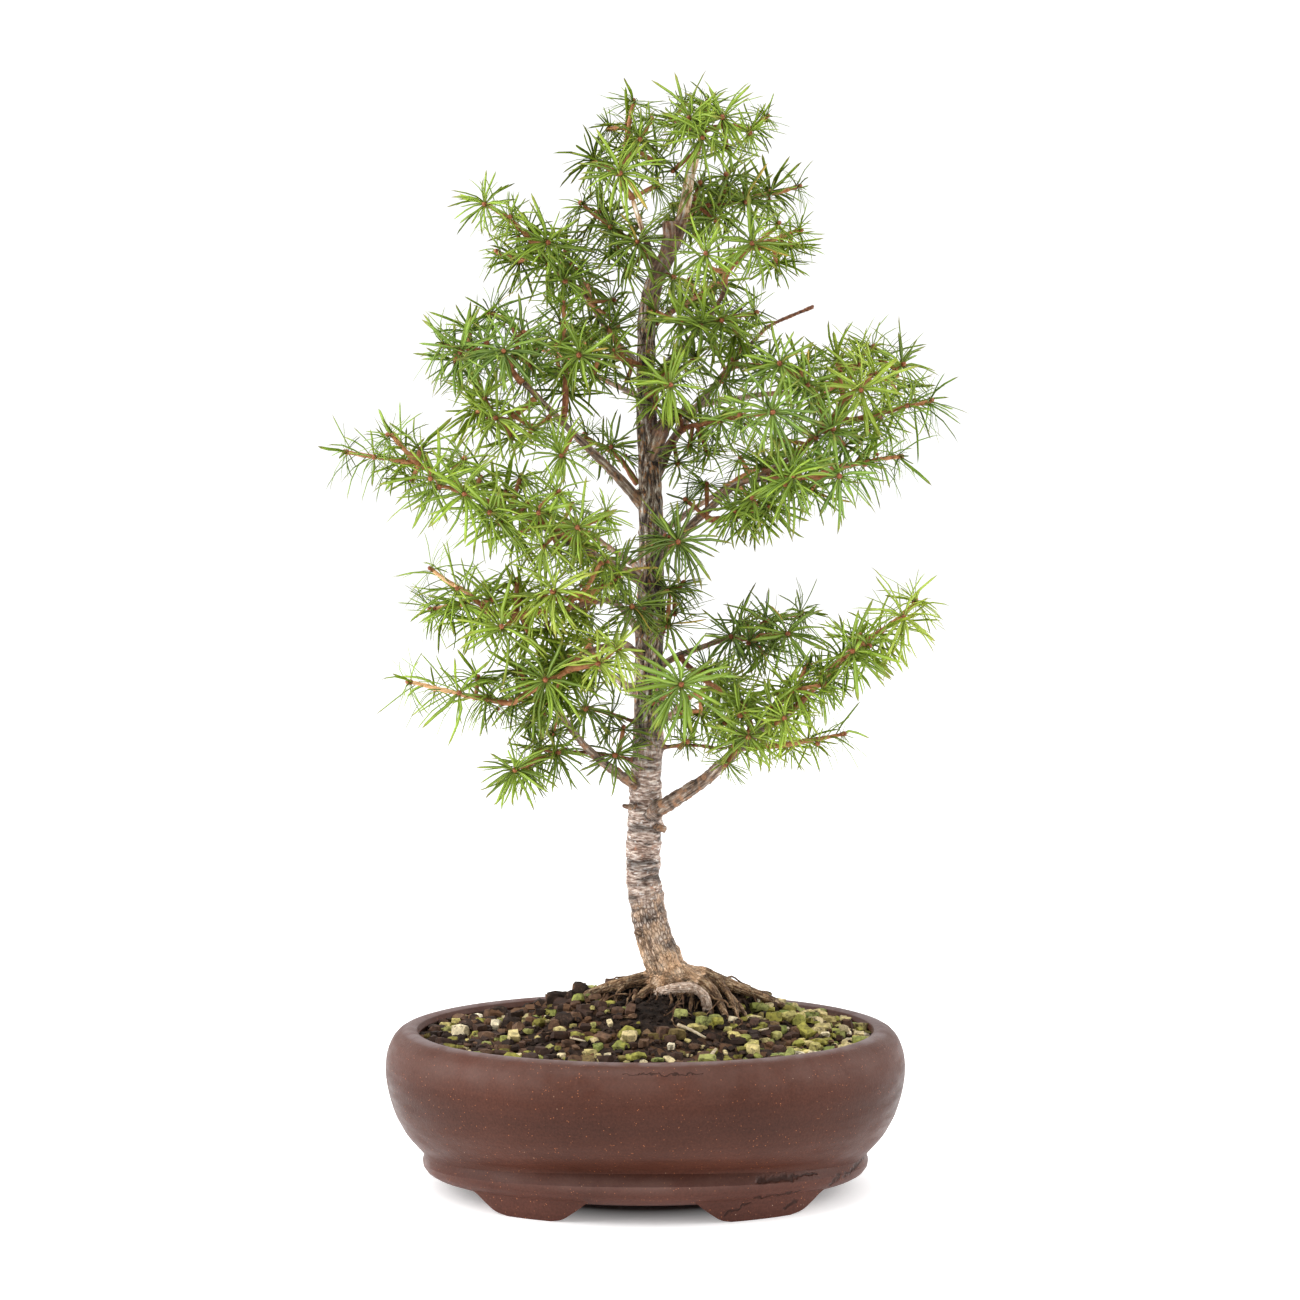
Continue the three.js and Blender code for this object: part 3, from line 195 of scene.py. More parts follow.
# Roots and limbs: the route, then the radius where it leaves the trunk and at its far end.
ROOTS = [
    ([(12, 3, 88), (23, 3, 87), (32, 3.5, 83.4), (46, 6, 78), (57, 8, 72.4), (64, 9, 65)], (3.9, 1.4)),
    ([(8, 3, 86), (-4, 1, 84.5), (-15, 0, 82), (-25, 2, 77.5), (-33, 4, 69)], (3.6, 1.4)),
    ([(4, -2, 79), (6.5, -10, 82), (13, -14, 84), (19.6, -14, 84), (24.2, -12.6, 80.5),
      (25.6, -12, 74), (26, -12, 66)], (2.3, 2.2)),
    ([(16, 0, 88), (25, -4, 84), (30, -10, 79), (34, -17, 70)], (3, 1.4)),
    ([(26, 3, 84), (34, -3, 80), (40, -9, 74), (43, -12, 67)], (1.9, 1.1)),
    ([(6, -2, 84), (-3, -9, 79.5), (-10, -17, 70)], (2.4, 1.2)),
    ([(8, 8, 85), (2, 18, 79.5), (-6, 30, 71), (-8, 34, 65)], (3, 1.2)),
    ([(14, 8, 85), (22, 18, 79.5), (33, 27, 71), (37, 30, 65)], (3.2, 1.3)),
    ([(31, 0, 84), (35, -8, 79), (38, -13, 71), (39, -15, 66)], (1.6, 0.9)),
    ([(18, -4, 84), (19, -11, 80), (18, -17, 73), (18, -19, 69)], (1.3, 0.8)),
    ([(-8, 1, 83), (-12, -6, 80), (-14, -11, 73)], (1.4, 0.9)),
]
CURLED_ROOT = 3  # its place among all the lines of wood, of which the trunk is the first
ROOT_CROWN = Vector((12, 3, 88))
ROOT_BARK_FROM = 13  # distance from there at which a root has its own bark
LIMBS = [
    ([(2, 0, 154), (22, -13, 168), (41, -26, 188), (58, -33, 199)], (4.9, 3.0)),
    ([(-1, 1, 164), (-23, -18, 182), (-35, -30, 199)], (3.6, 2)),
    ([(4, 0, 181), (20, -4, 183), (34, -8, 182)], (1.5, 1.2)),
    ([(-4, 0, 176), (-19, -6, 180), (-32, -10, 181)], (1.6, 1.3)),
    ([(-4, 0, 192), (-22, -8, 198)], (1.4, 1.1)),
    ([(0, -2, 218), (-9, -16, 226), (-18, -26, 225), (-27, -38, 221)], (2.2, 1.6)),
    ([(0, 0, 226), (-11, -18, 241), (-20, -30, 243), (-29, -37, 241), (-39, -40, 240)], (2.8, 1.7)),
    ([(0, -2, 250), (-40, -48, 273)], (3.2, 2)),
    ([(4, 3, 213), (14, 9, 219), (34, 14, 226)], (2.6, 1.7)),
    ([(3, -2, 258), (30, -15, 284), (38, -19, 290), (50, -23, 292)], (3.4, 2)),
    ([(43, -20, 291), (50, -19, 295), (65, -12, 305), (77, -3, 317)], (1.8, 1.5)),
    ([(3, 0, 291), (11, 6, 308), (31, 24, 334), (47, 34, 352), (53, 36, 357), (72, 40, 365)], (3.6, 1.25)),
    ([(2, 2, 312), (19, 24, 322), (40, 40, 327), (62, 48, 329), (79, 50, 331)], (2.8, 1.6)),
    ([(2, 0, 331), (11, 4, 341), (18, 4, 349), (30, -4, 365), (32, -8, 371)], (2.8, 1.7)),
    ([(0, -2, 280), (-26, -20, 308), (-49, -30, 330)], (3.6, 1.9)),
    ([(1, -1, 336), (-11, 9, 347), (-25, 19, 369), (-31, 21, 374)], (2.6, 1.6)),
    ([(4, 0, 377), (-5, -10, 405)], (2.4, 1.6)),
    ([(1, 4, 186), (18, 46, 199)], (3.2, 1.7)),
    ([(0, 4, 201), (-14, 26, 210), (-26, 44, 214)], (3, 1.7)),
    ([(1, 2, 253), (-23, 44, 269)], (2.8, 1.6)),
    ([(2, 2, 267), (34, 44, 289)], (2.8, 1.6)),
    ([(0, 2, 324), (-30, 42, 342)], (2.4, 1.5)),
]
LIMB_SLIMNESS = 0.74  # share of these radii that a limb has here, because the model's are stouter
LIMB_TAPER = 2
TRUNK_STEP = 3
LIMB_STEP = 2.5
STUB_STEP = 1.5
THICK_WOOD = (6, 24)  # radius past which a line of wood starts with more sides, and how many
THIN_WOOD_SIDES = 14
WOOD_STRAY = (26, 1)  # over what distance the wood strays, and how far
BARK_SMOOTHING = {"factor": 0.5, "iterations": 4}
# Short ends that are left where shoots were cut off.
STUBS = [
    ([(-5, -3, 157), (-9.2, -4, 158)], (1.6, 1)),
    ([(5, -3, 149), (8.4, -4, 148)], (2, 1.5)),
    ([(-3, -1, 105), (-4.6, -2, 105.6)], (1.5, 1.2)),
    ([(5, -3, 229), (8.4, -5, 230)], (1.5, 1.1)),
    ([(2, -4, 301), (6.5, -7, 310), (9, -8, 317), (10.8, -8, 324)], (3.2, 2.7)),
    ([(38, -25, 187), (42.5, -33, 190)], (3.4, 2.5)),
    ([(2.5, -2, 362), (5, -3, 374), (8.6, -4, 386), (9.6, -5, 397)], (3.2, 2.8)),
]

# The two long stubs on the upper trunk, where the wood is reddish: middle and reach.
PRUNED = [((9, -8, 318), 12), ((8.4, -4, 388), 15)]

# Fine roots over the mound: route only. They end in the compost.
HAIR_ROOTS = [
    [(24, 5, 83), (32, 6, 85), (38, 8, 83.5), (43, 9, 79.5), (47, 10, 76)],
    [(34, 4, 80), (42, 6, 81), (50, 8, 77.5), (57, 10, 75), (63, 11, 70.5)],
    [(2, 2, 82), (-6, 1, 85.4), (-13, 0, 85.5), (-19, 0, 80), (-22, 0, 77)],
    [(4, -6, 82), (-2, -14, 80), (-9, -22, 76.5), (-13, -30, 70)],
    [(22, -8, 82), (30, -14, 79.5), (37, -22, 75.5), (41, -31, 68.5)],
    [(14, -10, 81), (15, -20, 79), (11, -29, 74.5), (13, -38, 68)],
    [(0, -4, 80), (-12, -8, 79.5), (-24, -10, 76), (-34, -16, 69)],
    [(26, 10, 81), (38, 20, 78), (48, 30, 70)],
    [(8, 12, 81), (0, 24, 78), (-12, 34, 69)],
    [(18, 12, 81), (20, 24, 78.5), (26, 38, 68)],
]

HAIR_THICKNESS = (0.5, 0.25)  # radius at the start and at the end
HAIR_BRANCHES = 5  # of each
BRANCH_THICKNESS = (0.28, 0.14)
STRANDS = 26  # that hang from the roots down the front of the mound
STRAND_RADII = (0.2, 0.25, 0.3, 0.45, 0.8)

# Loose straws and splinters on the compost: route, then radius.
STRAWS = [
    ([(13, -36, 73.2), (18, -38, 71.6), (24, -42, 69)], 0.8),
    ([(25.5, -57, 64.4), (28, -52, 66.4)], 0.9),
    ([(-30, -38, 68.2), (-24, -42, 67.6)], 0.5),
    ([(46, -30, 69.6), (52, -25, 70)], 0.5),
    ([(-48, -20, 67.6), (-42, -12, 70.4)], 0.45),
]

# Leafy sprays: the routes of their twigs, then their large tufts, each as its place and its reach.
SPRAYS = {
    "apex": (
        [[(21, -4, 425), (23, -5, 433), (25, -6, 443)],
         [(23, -5, 433), (33, -6, 435), (42, -4, 434), (49, -2, 439)],
         [(23, -5, 433), (18, 4, 436), (11, 10, 439)]],
        [(23, -15, 429, 20), (25, -6, 444, 16), (31, -14, 437, 18), (18, -14, 437, 19), (33, -8, 426, 17),
         (12, -2, 418, 16), (42, -9, 432, 12), (49, -2, 439, 8), (11, 8, 440, 13), (16, 14, 446, 10)]),
    "top_left": (
        [[(-5, -10, 405), (-10, -12, 416), (-5, -8, 443)], [(-9, -12, 418), (2, -14, 435)],
         [(-9, -12, 414), (-20, 2, 422)]],
        [(-10, -22, 414, 20), (-5, -8, 444, 12), (-2, -18, 428, 13), (2, -14, 436, 11), (-21, 2, 422, 17),
         (-14, -4, 434, 10), (4, -8, 420, 17), (-8, -2, 424, 17), (4, -12, 410, 16)]),
    "crown_right": (
        [[(16, 0, 404), (25, 10, 404), (39, 16, 407), (62, 18, 413)]],
        [(25, 6, 404, 19), (22, 2, 412, 18), (33, 6, 416, 18), (28, 0, 398, 18), (41, 10, 406, 18),
         (63, 18, 413, 11), (34, 22, 412, 18), (52, 24, 412, 16)]),
    "up_right_tip": (
        [[(32, -8, 371), (33, -11, 376), (43, -16, 385), (53, -18, 393)],
         [(43, -16, 385), (61, -12, 392)], [(33, -11, 376), (27, -22, 376), (24, -28, 380)]],
        [(43, -24, 386, 19), (53, -18, 394, 15), (62, -12, 392, 12), (53, -6, 380, 15), (59, -2, 387, 14),
         (24, -32, 381, 17)]),
    "crown_left": (
        [[(5, 0, 376), (0, 4, 385), (-20, 12, 400), (-25, 12, 405)]],
        [(-3, -6, 388, 19), (-7, 2, 378, 20), (-12, 8, 386, 18), (-3, 6, 396, 17), (-14, 4, 395, 17),
         (-26, 12, 405, 15), (-19, 18, 403, 16), (11, -8, 374, 16)]),
    "up_left_tip": (
        [[(-31, 21, 374), (-40, 10, 382), (-52, 0, 395), (-64, -5, 403)],
         [(-40, 10, 382), (-51, 4, 383), (-60, 2, 385)]],
        [(-40, -6, 388, 20), (-65, -9, 403, 13), (-40, 2, 380, 19), (-31, 8, 380, 18), (-33, -2, 373, 17),
         (-47, 6, 393, 17), (-55, -8, 398, 11), (-60, 2, 385, 12), (-52, 14, 382, 17), (-33, 22, 389, 17)]),
    "up_left_side": (
        [[(-23, 16, 365), (-24, 28, 373)]],
        [(-24, 30, 373, 17), (-14, 14, 366, 18), (-12, 10, 356, 17), (-20, 20, 360, 17),
         (-28, 12, 378, 17)]),
    "left_top_tip": (
        [[(-49, -30, 330), (-54, -31, 336), (-57, -32, 341), (-80, -33, 345)],
         [(-54, -31, 336), (-51, -26, 345), (-54, -22, 354), (-61, -20, 358)]],
        [(-56, -42, 342, 20), (-63, -36, 345, 18), (-80, -33, 345, 17), (-73, -40, 342, 18),
         (-49, -28, 350, 17), (-62, -20, 358, 17), (-70, -24, 351, 17), (-76, -26, 339, 17),
         (-46, -22, 337, 17)]),
    "left_top_low": (
        [[(-44, -28, 324), (-52, -26, 317), (-59, -24, 316), (-69, -24, 333)],
         [(-52, -26, 317), (-45, -30, 313), (-39, -33, 316)]],
        [(-59, -34, 316, 20), (-69, -24, 334, 17), (-39, -33, 316, 14), (-45, -38, 311, 14),
         (-64, -30, 324, 16), (-54, -20, 309, 17), (-68, -14, 319, 17)]),
    "left_upright": (
        [[(-33, -23, 315), (-32, -22, 332), (-33, -15, 362)]],
        [(-35, -24, 345, 16), (-33, -15, 362, 16), (-32, -14, 335, 15)]),
    "left_inner_star": (
        [[(0, -2, 338), (-13, -18, 341), (-24, -26, 341)]],
        [(-26, -32, 341, 18), (-13, -12, 343, 17), (-15, -4, 353, 18), (-7, -8, 333, 17),
         (-21, -18, 334, 16)]),
    "left_face_star": (
        [[(-29, -21, 311), (-32, -30, 304), (-33, -38, 301)]],
        [(-33, -42, 301, 17)]),
    "left_small": (
        [[(-3, 2, 290), (-12, 2, 302), (-24, 4, 309)]],
        [(-14, -6, 305, 15), (-24, 4, 310, 11)]),
    "front_star_high": (
        [[(1, -6, 326), (9, -32, 329)]],
        [(10, -38, 329, 20), (12, -22, 338, 18), (20, -10, 341, 17), (8, -14, 335, 17), (4, -18, 322, 17)]),
    "front_star_mid": (
        [[(3, -8, 264), (13, -36, 267)]],
        [(13, -42, 267, 21), (8, -22, 268, 16)]),
    "front_star_low": (
        [[(2, -6, 237), (-4, -32, 240)]],
        [(-5, -36, 241, 16)]),
    "trunk_right_tuft": (
        [[(5, 0, 247), (14, -2, 248)]],
        [(9, -6, 247, 15), (9, -10, 233, 17), (15, -2, 249, 16), (12, -4, 238, 16)]),
    "up_right_low": (
        [[(25, 0, 358), (25, -7, 356), (28, -10, 356), (43, -14, 359)],
         [(25, -7, 356), (12, -14, 356), (5, -14, 359)]],
        [(22, -16, 354, 21), (14, -18, 355, 19), (4, -14, 359, 16), (44, -14, 359, 15),
         (31, -16, 356, 16), (37, -4, 351, 17)]),
    "right_long_shoot": (
        [[(11, 6, 308), (16, -8, 312), (22, -17, 314), (30, -27, 315), (49, -42, 318)]],
        [(50, -46, 318, 21), (38, -40, 317, 16), (30, -32, 315, 16), (22, -12, 314, 17), (13, 2, 299, 18),
         (14, -6, 318, 17), (25, -14, 303, 17), (18, -16, 306, 17)]),
    "right_bare_tufts": (
        [[(31, 26, 334), (37, 20, 339), (50, 8, 339)]],
        [(37, 16, 341, 17), (32, 14, 333, 17), (50, 6, 338, 17), (40, 26, 348, 17), (29, 30, 348, 16)]),
    "right_up_star": (
        [[(72, -7, 312), (72, -5, 317), (71, -8, 323), (65, -14, 331), (55, -20, 337)]],
        [(54, -24, 338, 19), (65, -20, 330, 16), (63, -6, 337, 16)]),
    "right_crown": (
        [[(77, -3, 317), (81, -4, 324), (87, -10, 329), (92, -12, 334)], [(81, -4, 324), (79, 8, 340)]],
        [(87, -18, 328, 21), (93, -12, 334, 18), (79, 8, 341, 18), (87, 6, 339, 18), (72, 0, 331, 17)]),
    "right_mid_tip": (
        [[(50, -23, 292), (77, -33, 293)], [(67, -29, 293), (79, -20, 297), (103, -12, 301)]],
        [(77, -38, 293, 19), (48, -14, 296, 18), (56, -34, 290, 21), (59, -36, 293, 17),
         (67, -22, 288, 18), (67, -18, 298, 16), (103, -12, 301, 11), (88, -20, 298, 10)]),
    "right_mid_low": (
        [[(25, -15, 276), (30, -18, 276), (50, -22, 281)]],
        [(36, -24, 279, 16), (25, -10, 289, 15), (17, -14, 283, 16), (50, -24, 281, 18),
         (44, -14, 279, 17), (43, -28, 284, 15)]),
    "right_far_shoot": (
        [[(75, -5, 315), (80, 2, 317), (89, 4, 317), (116, -2, 324)]],
        [(116, -2, 324, 14), (107, -4, 322, 11), (97, 8, 317, 17), (91, 0, 313, 17)]),
    "right_back_tip": (
        [[(79, 50, 331), (85, 47, 332), (105, 38, 335), (106, 35, 338)], [(85, 47, 332), (91, 48, 344)]],
        [(108, 32, 340, 19), (100, 36, 342, 17), (91, 48, 345, 18), (96, 40, 348, 16), (106, 42, 330, 19),
         (83, 56, 338, 17), (75, 60, 327, 17)]),
    "low_mid_tip": (
        [[(34, 14, 226), (40, 12, 226), (57, -2, 229)], [(40, 12, 226), (55, 26, 234), (65, 28, 235)]],
        [(36, 6, 227, 18), (58, -8, 229, 19), (43, 2, 225, 17), (50, 12, 233, 17), (65, 28, 236, 18),
         (40, 22, 232, 17), (49, 14, 220, 16)]),
    "front_star_right": (
        [[(3, -3, 200), (13, -46, 210)]],
        [(14, -52, 211, 24)]),
    "front_right_twig": (
        [[(14, 9, 219), (20, 2, 213), (38, -30, 202)]],
        [(39, -30, 202, 17), (31, -14, 206, 16), (25, 2, 213, 17)]),
    "low_right_knob": (
        [[(41, -26, 188), (42, -34, 195), (39, -34, 200)]],
        [(41, -42, 190, 20), (38, -40, 198, 17), (36, -36, 186, 16), (33, -28, 178, 13),
         (31, -26, 194, 17)]),
    "low_right_star": (
        [[(49, -30, 193), (50, -38, 194), (55, -42, 196)]],
        [(55, -46, 197, 15), (48, -26, 189, 15)]),
    "low_right_side": (
        [[(53, -31, 196), (54, -30, 202), (59, -32, 207), (62, -35, 212), (64, -34, 216)],
         [(59, -32, 207), (63, -42, 209), (69, -45, 210)]],
        [(59, -42, 208, 19), (65, -34, 217, 15), (70, -45, 210, 15), (54, -24, 205, 18),
         (50, -40, 201, 16)]),
    "low_right_tip": (
        [[(58, -33, 199), (60, -36, 201), (66, -38, 207), (79, -37, 221), (103, -29, 237)],
         [(79, -37, 221), (83, -40, 224), (85, -40, 229)], [(103, -29, 237), (108, -27, 242)]],
        [(103, -36, 237, 20), (108, -27, 243, 15), (82, -46, 224, 19), (85, -40, 229, 16),
         (79, -28, 219, 18), (72, -30, 211, 14), (95, -24, 230, 17), (88, -42, 226, 17)]),
    "low_long_shoot": (
        [[(34, -8, 182), (59, -12, 184), (80, -12, 188)]],
        [(70, -16, 185, 6), (80, -12, 188, 7), (59, -4, 183, 11)]),
    "low_twig_tuft": (
        [[(14, -3, 182), (17, -8, 185)]],
        [(17, -10, 185, 8)]),
    "low_left_tip": (
        [[(-35, -30, 199), (-39, -33, 203), (-46, -24, 195)], [(-39, -33, 203), (-53, -38, 204)]],
        [(-46, -24, 194, 18), (-42, -40, 204, 18), (-37, -30, 191, 17), (-52, -38, 204, 17)]),
    "low_left_twigs": (
        [[(-32, -10, 181), (-36, -12, 181), (-52, -32, 176)]],
        [(-52, -38, 176, 17), (-36, -18, 181, 19), (-43, -8, 182, 18), (-47, -16, 176, 16)]),
    "low_left_star": (
        [[(-10, -2, 178), (-11, -12, 180)]],
        [(-12, -16, 180, 16), (-9, -12, 190, 16)]),
    "mid_low_star": (
        [[(-22, -8, 198), (-23, -14, 199)]],
        [(-24, -18, 199, 16), (-14, -10, 196, 17)]),
    "mid_low_tip": (
        [[(-27, -38, 221), (-31, -46, 216), (-38, -50, 213)],
         [(-31, -46, 216), (-18, -54, 220), (-11, -58, 225)],
         [(-38, -50, 213), (-49, -50, 206), (-57, -50, 204), (-92, -54, 212)]],
        [(-39, -54, 213, 21), (-11, -58, 225, 19), (-30, -40, 217, 18), (-18, -58, 220, 15),
         (-35, -40, 208, 19), (-34, -30, 220, 18), (-92, -54, 212, 13), (-73, -56, 208, 17),
         (-83, -48, 209, 9), (-66, -48, 213, 17), (-62, -50, 206, 17), (-50, -44, 216, 18)]),
    "mid_left_tip": (
        [[(-20, -30, 243), (-30, -44, 245), (-36, -50, 245)],
         [(-30, -44, 245), (-24, -56, 248), (-17, -60, 259)], [(-26, -40, 244), (-12, -50, 252)]],
        [(-35, -62, 248, 21), (-16, -60, 259, 18), (-11, -50, 253, 16), (-40, -54, 246, 20),
         (-31, -40, 239, 19), (-24, -30, 239, 18)]),
    "mid_left_long": (
        [[(-39, -40, 240), (-50, -40, 238), (-62, -38, 239), (-73, -34, 242), (-84, -32, 240)],
         [(-50, -40, 238), (-56, -54, 233)], [(-62, -38, 239), (-67, -43, 244), (-84, -47, 256)]],
        [(-56, -58, 234, 21), (-85, -32, 240, 17), (-72, -40, 242, 18), (-65, -30, 236, 18),
         (-50, -32, 244, 18), (-47, -32, 231, 19), (-39, -28, 232, 19), (-61, -46, 244, 17),
         (-51, -36, 251, 17), (-84, -47, 256, 15), (-74, -50, 249, 15)]),
    "left_long_tip": (
        [[(-40, -48, 273), (-49, -54, 278), (-70, -56, 286), (-79, -54, 289)],
         [(-70, -56, 286), (-75, -58, 294), (-71, -60, 299)],
         [(-79, -54, 289), (-88, -58, 297), (-116, -58, 302)], [(-88, -58, 297), (-98, -64, 308)]],
        [(-80, -62, 289, 21), (-70, -66, 286, 19), (-56, -62, 275, 19), (-60, -66, 279, 18),
         (-71, -60, 299, 15), (-65, -46, 292, 18), (-55, -44, 287, 18), (-49, -50, 292, 17),
         (-46, -58, 282, 18), (-50, -42, 270, 18), (-116, -58, 302, 11), (-99, -64, 308, 12),
         (-83, -66, 292, 18), (-95, -52, 298, 14), (-105, -62, 300, 10), (-88, -52, 303, 17),
         (-91, -52, 292, 14)]),
    "left_long_front": (
        [[(-37, -45, 271), (-38, -52, 273), (-42, -60, 279), (-35, -64, 286)],
         [(-38, -52, 273), (-31, -57, 271), (-27, -60, 273), (-15, -62, 277)]],
        [(-34, -64, 286, 17), (-15, -62, 278, 15), (-41, -66, 279, 18), (-26, -66, 273, 18),
         (-39, -62, 266, 19), (-34, -46, 263, 18), (-26, -36, 266, 18)]),
    "left_long_inner": (
        [[(-15, -19, 259), (-11, -30, 254)]],
        [(-11, -34, 254, 17), (-17, -16, 254, 17)]),
    "back_low_right": (
        [[(18, 46, 199), (23, 52, 201), (34, 62, 205)], [(23, 52, 201), (24, 60, 192)]],
        [(34, 62, 205, 18), (24, 62, 191, 17), (27, 52, 208, 18), (15, 66, 191, 17)]),
    "back_low_left": (
        [[(-26, 44, 214), (-31, 51, 213), (-41, 62, 211)], [(-31, 51, 213), (-24, 58, 222)]],
        [(-41, 62, 211, 18), (-24, 60, 223, 17), (-32, 56, 206, 18), (-20, 64, 212, 17)]),
    "back_left": (
        [[(-23, 44, 269), (-28, 50, 271), (-41, 60, 277)], [(-28, 50, 271), (-21, 58, 259)]],
        [(-42, 60, 278, 18), (-21, 60, 258, 17), (-32, 56, 281, 18), (-28, 66, 264, 17)]),
    "back_right": (
        [[(34, 44, 289), (39, 50, 292), (52, 60, 300)], [(39, 50, 292), (46, 58, 284)]],
        [(52, 60, 300, 18), (46, 60, 283, 17), (41, 54, 301, 18), (58, 56, 290, 17)]),
    "back_up_left": (
        [[(-30, 42, 342), (-34, 47, 344), (-47, 60, 349)], [(-34, 47, 344), (-23, 56, 352)]],
        [(-48, 60, 349, 18), (-23, 58, 353, 17), (-37, 56, 338, 18), (-33, 62, 354, 16)]),
    "back_up_right": (
        [[(4, 2, 356), (30, 52, 376)]],
        [(31, 54, 376, 18), (23, 50, 369, 17), (19, 34, 375, 17)]),
    "back_top": (
        [[(11, 0, 391), (23, 46, 409)]],
        [(23, 48, 409, 17), (18, 40, 401, 16), (13, 28, 406, 16)]),
    "right_stars": (
        [[(66, -11, 306), (68, -16, 309), (74, -19, 312)], [(68, -16, 309), (63, -15, 312)]],
        [(69, -18, 309, 18), (75, -20, 312, 20), (61, -8, 303, 17), (55, -4, 308, 17), (81, -6, 306, 16)]),
}

# Lightness and warmth seen from place to place in the crown: x, z and reach, then lightness, which paints
# light and shade on the needles there, and warmth, from 0 to 1.
LEAF_SHADES_AND_TINTS = [
    (-60, 344, 28, 0.46, 0.3), (-62, 316, 16, 0.6, 0.68), (-112, 302, 20, 0.52, 0.36),
    (77, 312, 16, 0.5, 0.28), (113, 321, 18, 0.5, 0.3), (103, 300, 20, 0.48, 0.28),
    (58, 227, 18, 0.42, 0.34), (34, 226, 16, 0.3, 0.36), (53, 318, 20, 0.5, 0.3),
    (80, 291, 20, 0.52, 0.28), (-38, 210, 22, 0.4, 0.42), (14, 267, 18, 0.15, 0.4),
    (-5, 240, 14, 0.15, 0.5), (-13, 178, 14, 0.2, 0.5), (-24, 197, 14, 0.15, 0.5),
    (-12, 222, 12, 0.8, 0.9), (90, 333, 14, 0.78, 0.75), (14, 206, 14, 0.58, 0.32),
    (57, 192, 14, 0.75, 0.7), (-40, 246, 20, 0.7, 0.8), (107, 236, 16, 0.8, 0.85),
]
LIGHT_INSIDE = 0.26  # lightness of the needles by the trunk, where it paints shade
LIGHT_OUTSIDE = 0.54  # and at the edge of the crown, where it paints light
CROWN_HALF_WIDTH = 85
CROWN_MIDDLE = 250  # height at which the needles have neither painted shade, as below, nor painted light, as above
CROWN_HALF_HEIGHT = 200

# Where young end shoots are pale orange and bear few, fine needles: x, z and reach.
PALE_SHOOTS = [(-85, 209, 20), (-79, 252, 14)]

# Lamps: place in metres, share of the key lamp's power, and size in metres.
LAMPS = {
    "top lamp": ((-0.35, -0.35, 1.7), 1, 1.4),
    "left lamp": ((-1.3, -0.35, 0.7), 0.9, 0.9),
    "right lamp": ((1.4, -0.1, 0.7), 0.6, 0.9),
}
LAMPS_FACE = Vector((0, 0, 0.2))  # metres
CAMERA_PLACE = (0.0019, -1.1506, 0.2835)  # metres
CAMERA_DIP = 3.066  # degrees below level
CAMERA_LENS = 77.54
FLOOR_SIZE = 6  # metres


# ---------------------------------------------------------------- what a user may change

class BonsaiSettings(bpy.types.PropertyGroup):
    clay_colour: FloatVectorProperty(
        name="Clay", description="Colour of the unglazed pot", subtype="COLOR",
        default=(0.058, 0.0195, 0.0120), min=0, max=1)
    compost_colour: FloatVectorProperty(
        name="Compost", description="Colour of the moist compost", subtype="COLOR",
        default=(0.036, 0.020, 0.013), min=0, max=1)
    needle_colour: FloatVectorProperty(
        name="Needles", description="Colour of a full-grown needle in good light", subtype="COLOR",
        default=(0.285, 0.42, 0.032), min=0, max=1)
    needles_per_tuft: IntProperty(
        name="Needles per tuft", description="Needles in one of the large tufts", default=29, min=6, max=60)
    filler_pitch: FloatProperty(
        name="Small tuft spacing", description="Space between the small tufts along a twig",
        subtype="DISTANCE", default=0.0094, min=0.004, max=0.05)
    grit_count: IntProperty(
        name="Grit", description="Grains of grit on the compost", default=1200, min=100, max=4000)
    crumb_count: IntProperty(
        name="Crumbs", description="Fine crumbs of compost", default=2600, min=100, max=6000)
    bark_voxel: FloatProperty(
        name="Bark fineness", description="Size of the faces that carry the relief of the bark",
        subtype="DISTANCE", default=0.00078, min=0.0006, max=0.003)
    bark_relief: FloatProperty(
        name="Bark relief", description="Height of the scales and wrinkles of the bark",
        subtype="DISTANCE", default=0.0005, min=0, max=0.002)
    lamp_power: FloatProperty(
        name="Key lamp", description="Power of the large lamp over the plant", subtype="POWER",
        default=16, min=0, max=100)


def settings():
    return bpy.context.scene.larch_bonsai


# ---------------------------------------------------------------- lines and tubes

def mix(a, b, share):
    return a + (b - a) * share


def clamp(value, low=0, high=1):
    return max(low, min(high, value))


def smooth_run(points, step):
    """Points about one step apart on a smooth line through all the given ones."""
    given = [Vector(point) for point in points]
    ends = [given[0] * 2 - given[1], *given, given[-1] * 2 - given[-2]]
    line = [given[0]]
    for before, start, end, after in zip(ends, ends[1:], ends[2:], ends[3:]):
        count = max(1, round((end - start).length / step))
        for i in range(1, count + 1):
            t = i / count
            line.append((start * 2 + (end - before) * t
                         + (before * 2 - start * 5 + end * 4 - after) * t ** 2
                         + (start * 3 - before - end * 3 + after) * t ** 3) / 2)
    return line


def stem_line(route, thick, step, taper=1):
    """A smooth line of (x, y, z, radius) along a route, with its radius at the start and at the end.

    With a taper over 1, most of the change is near the start."""
    start, end = thick
    line = smooth_run(route, step)
    last = len(line) - 1
    return [Vector((*point, mix(end, start, (1 - i / last) ** taper))) for i, point in enumerate(line)]


def carried_frames(line):
    """The ways across, up and along at each point of a line, carried along it without twisting."""
    places = [point.to_3d() for point in line]
    frames = []
    across = None
    for i in range(len(places)):
        along = (places[min(i + 1, len(places) - 1)] - places[max(i - 1, 0)]).normalized()
        if across is None:
            across = along.orthogonal()
        across = (across - along * across.dot(along)).normalized()
        frames.append((across, along.cross(across), along))
    return frames


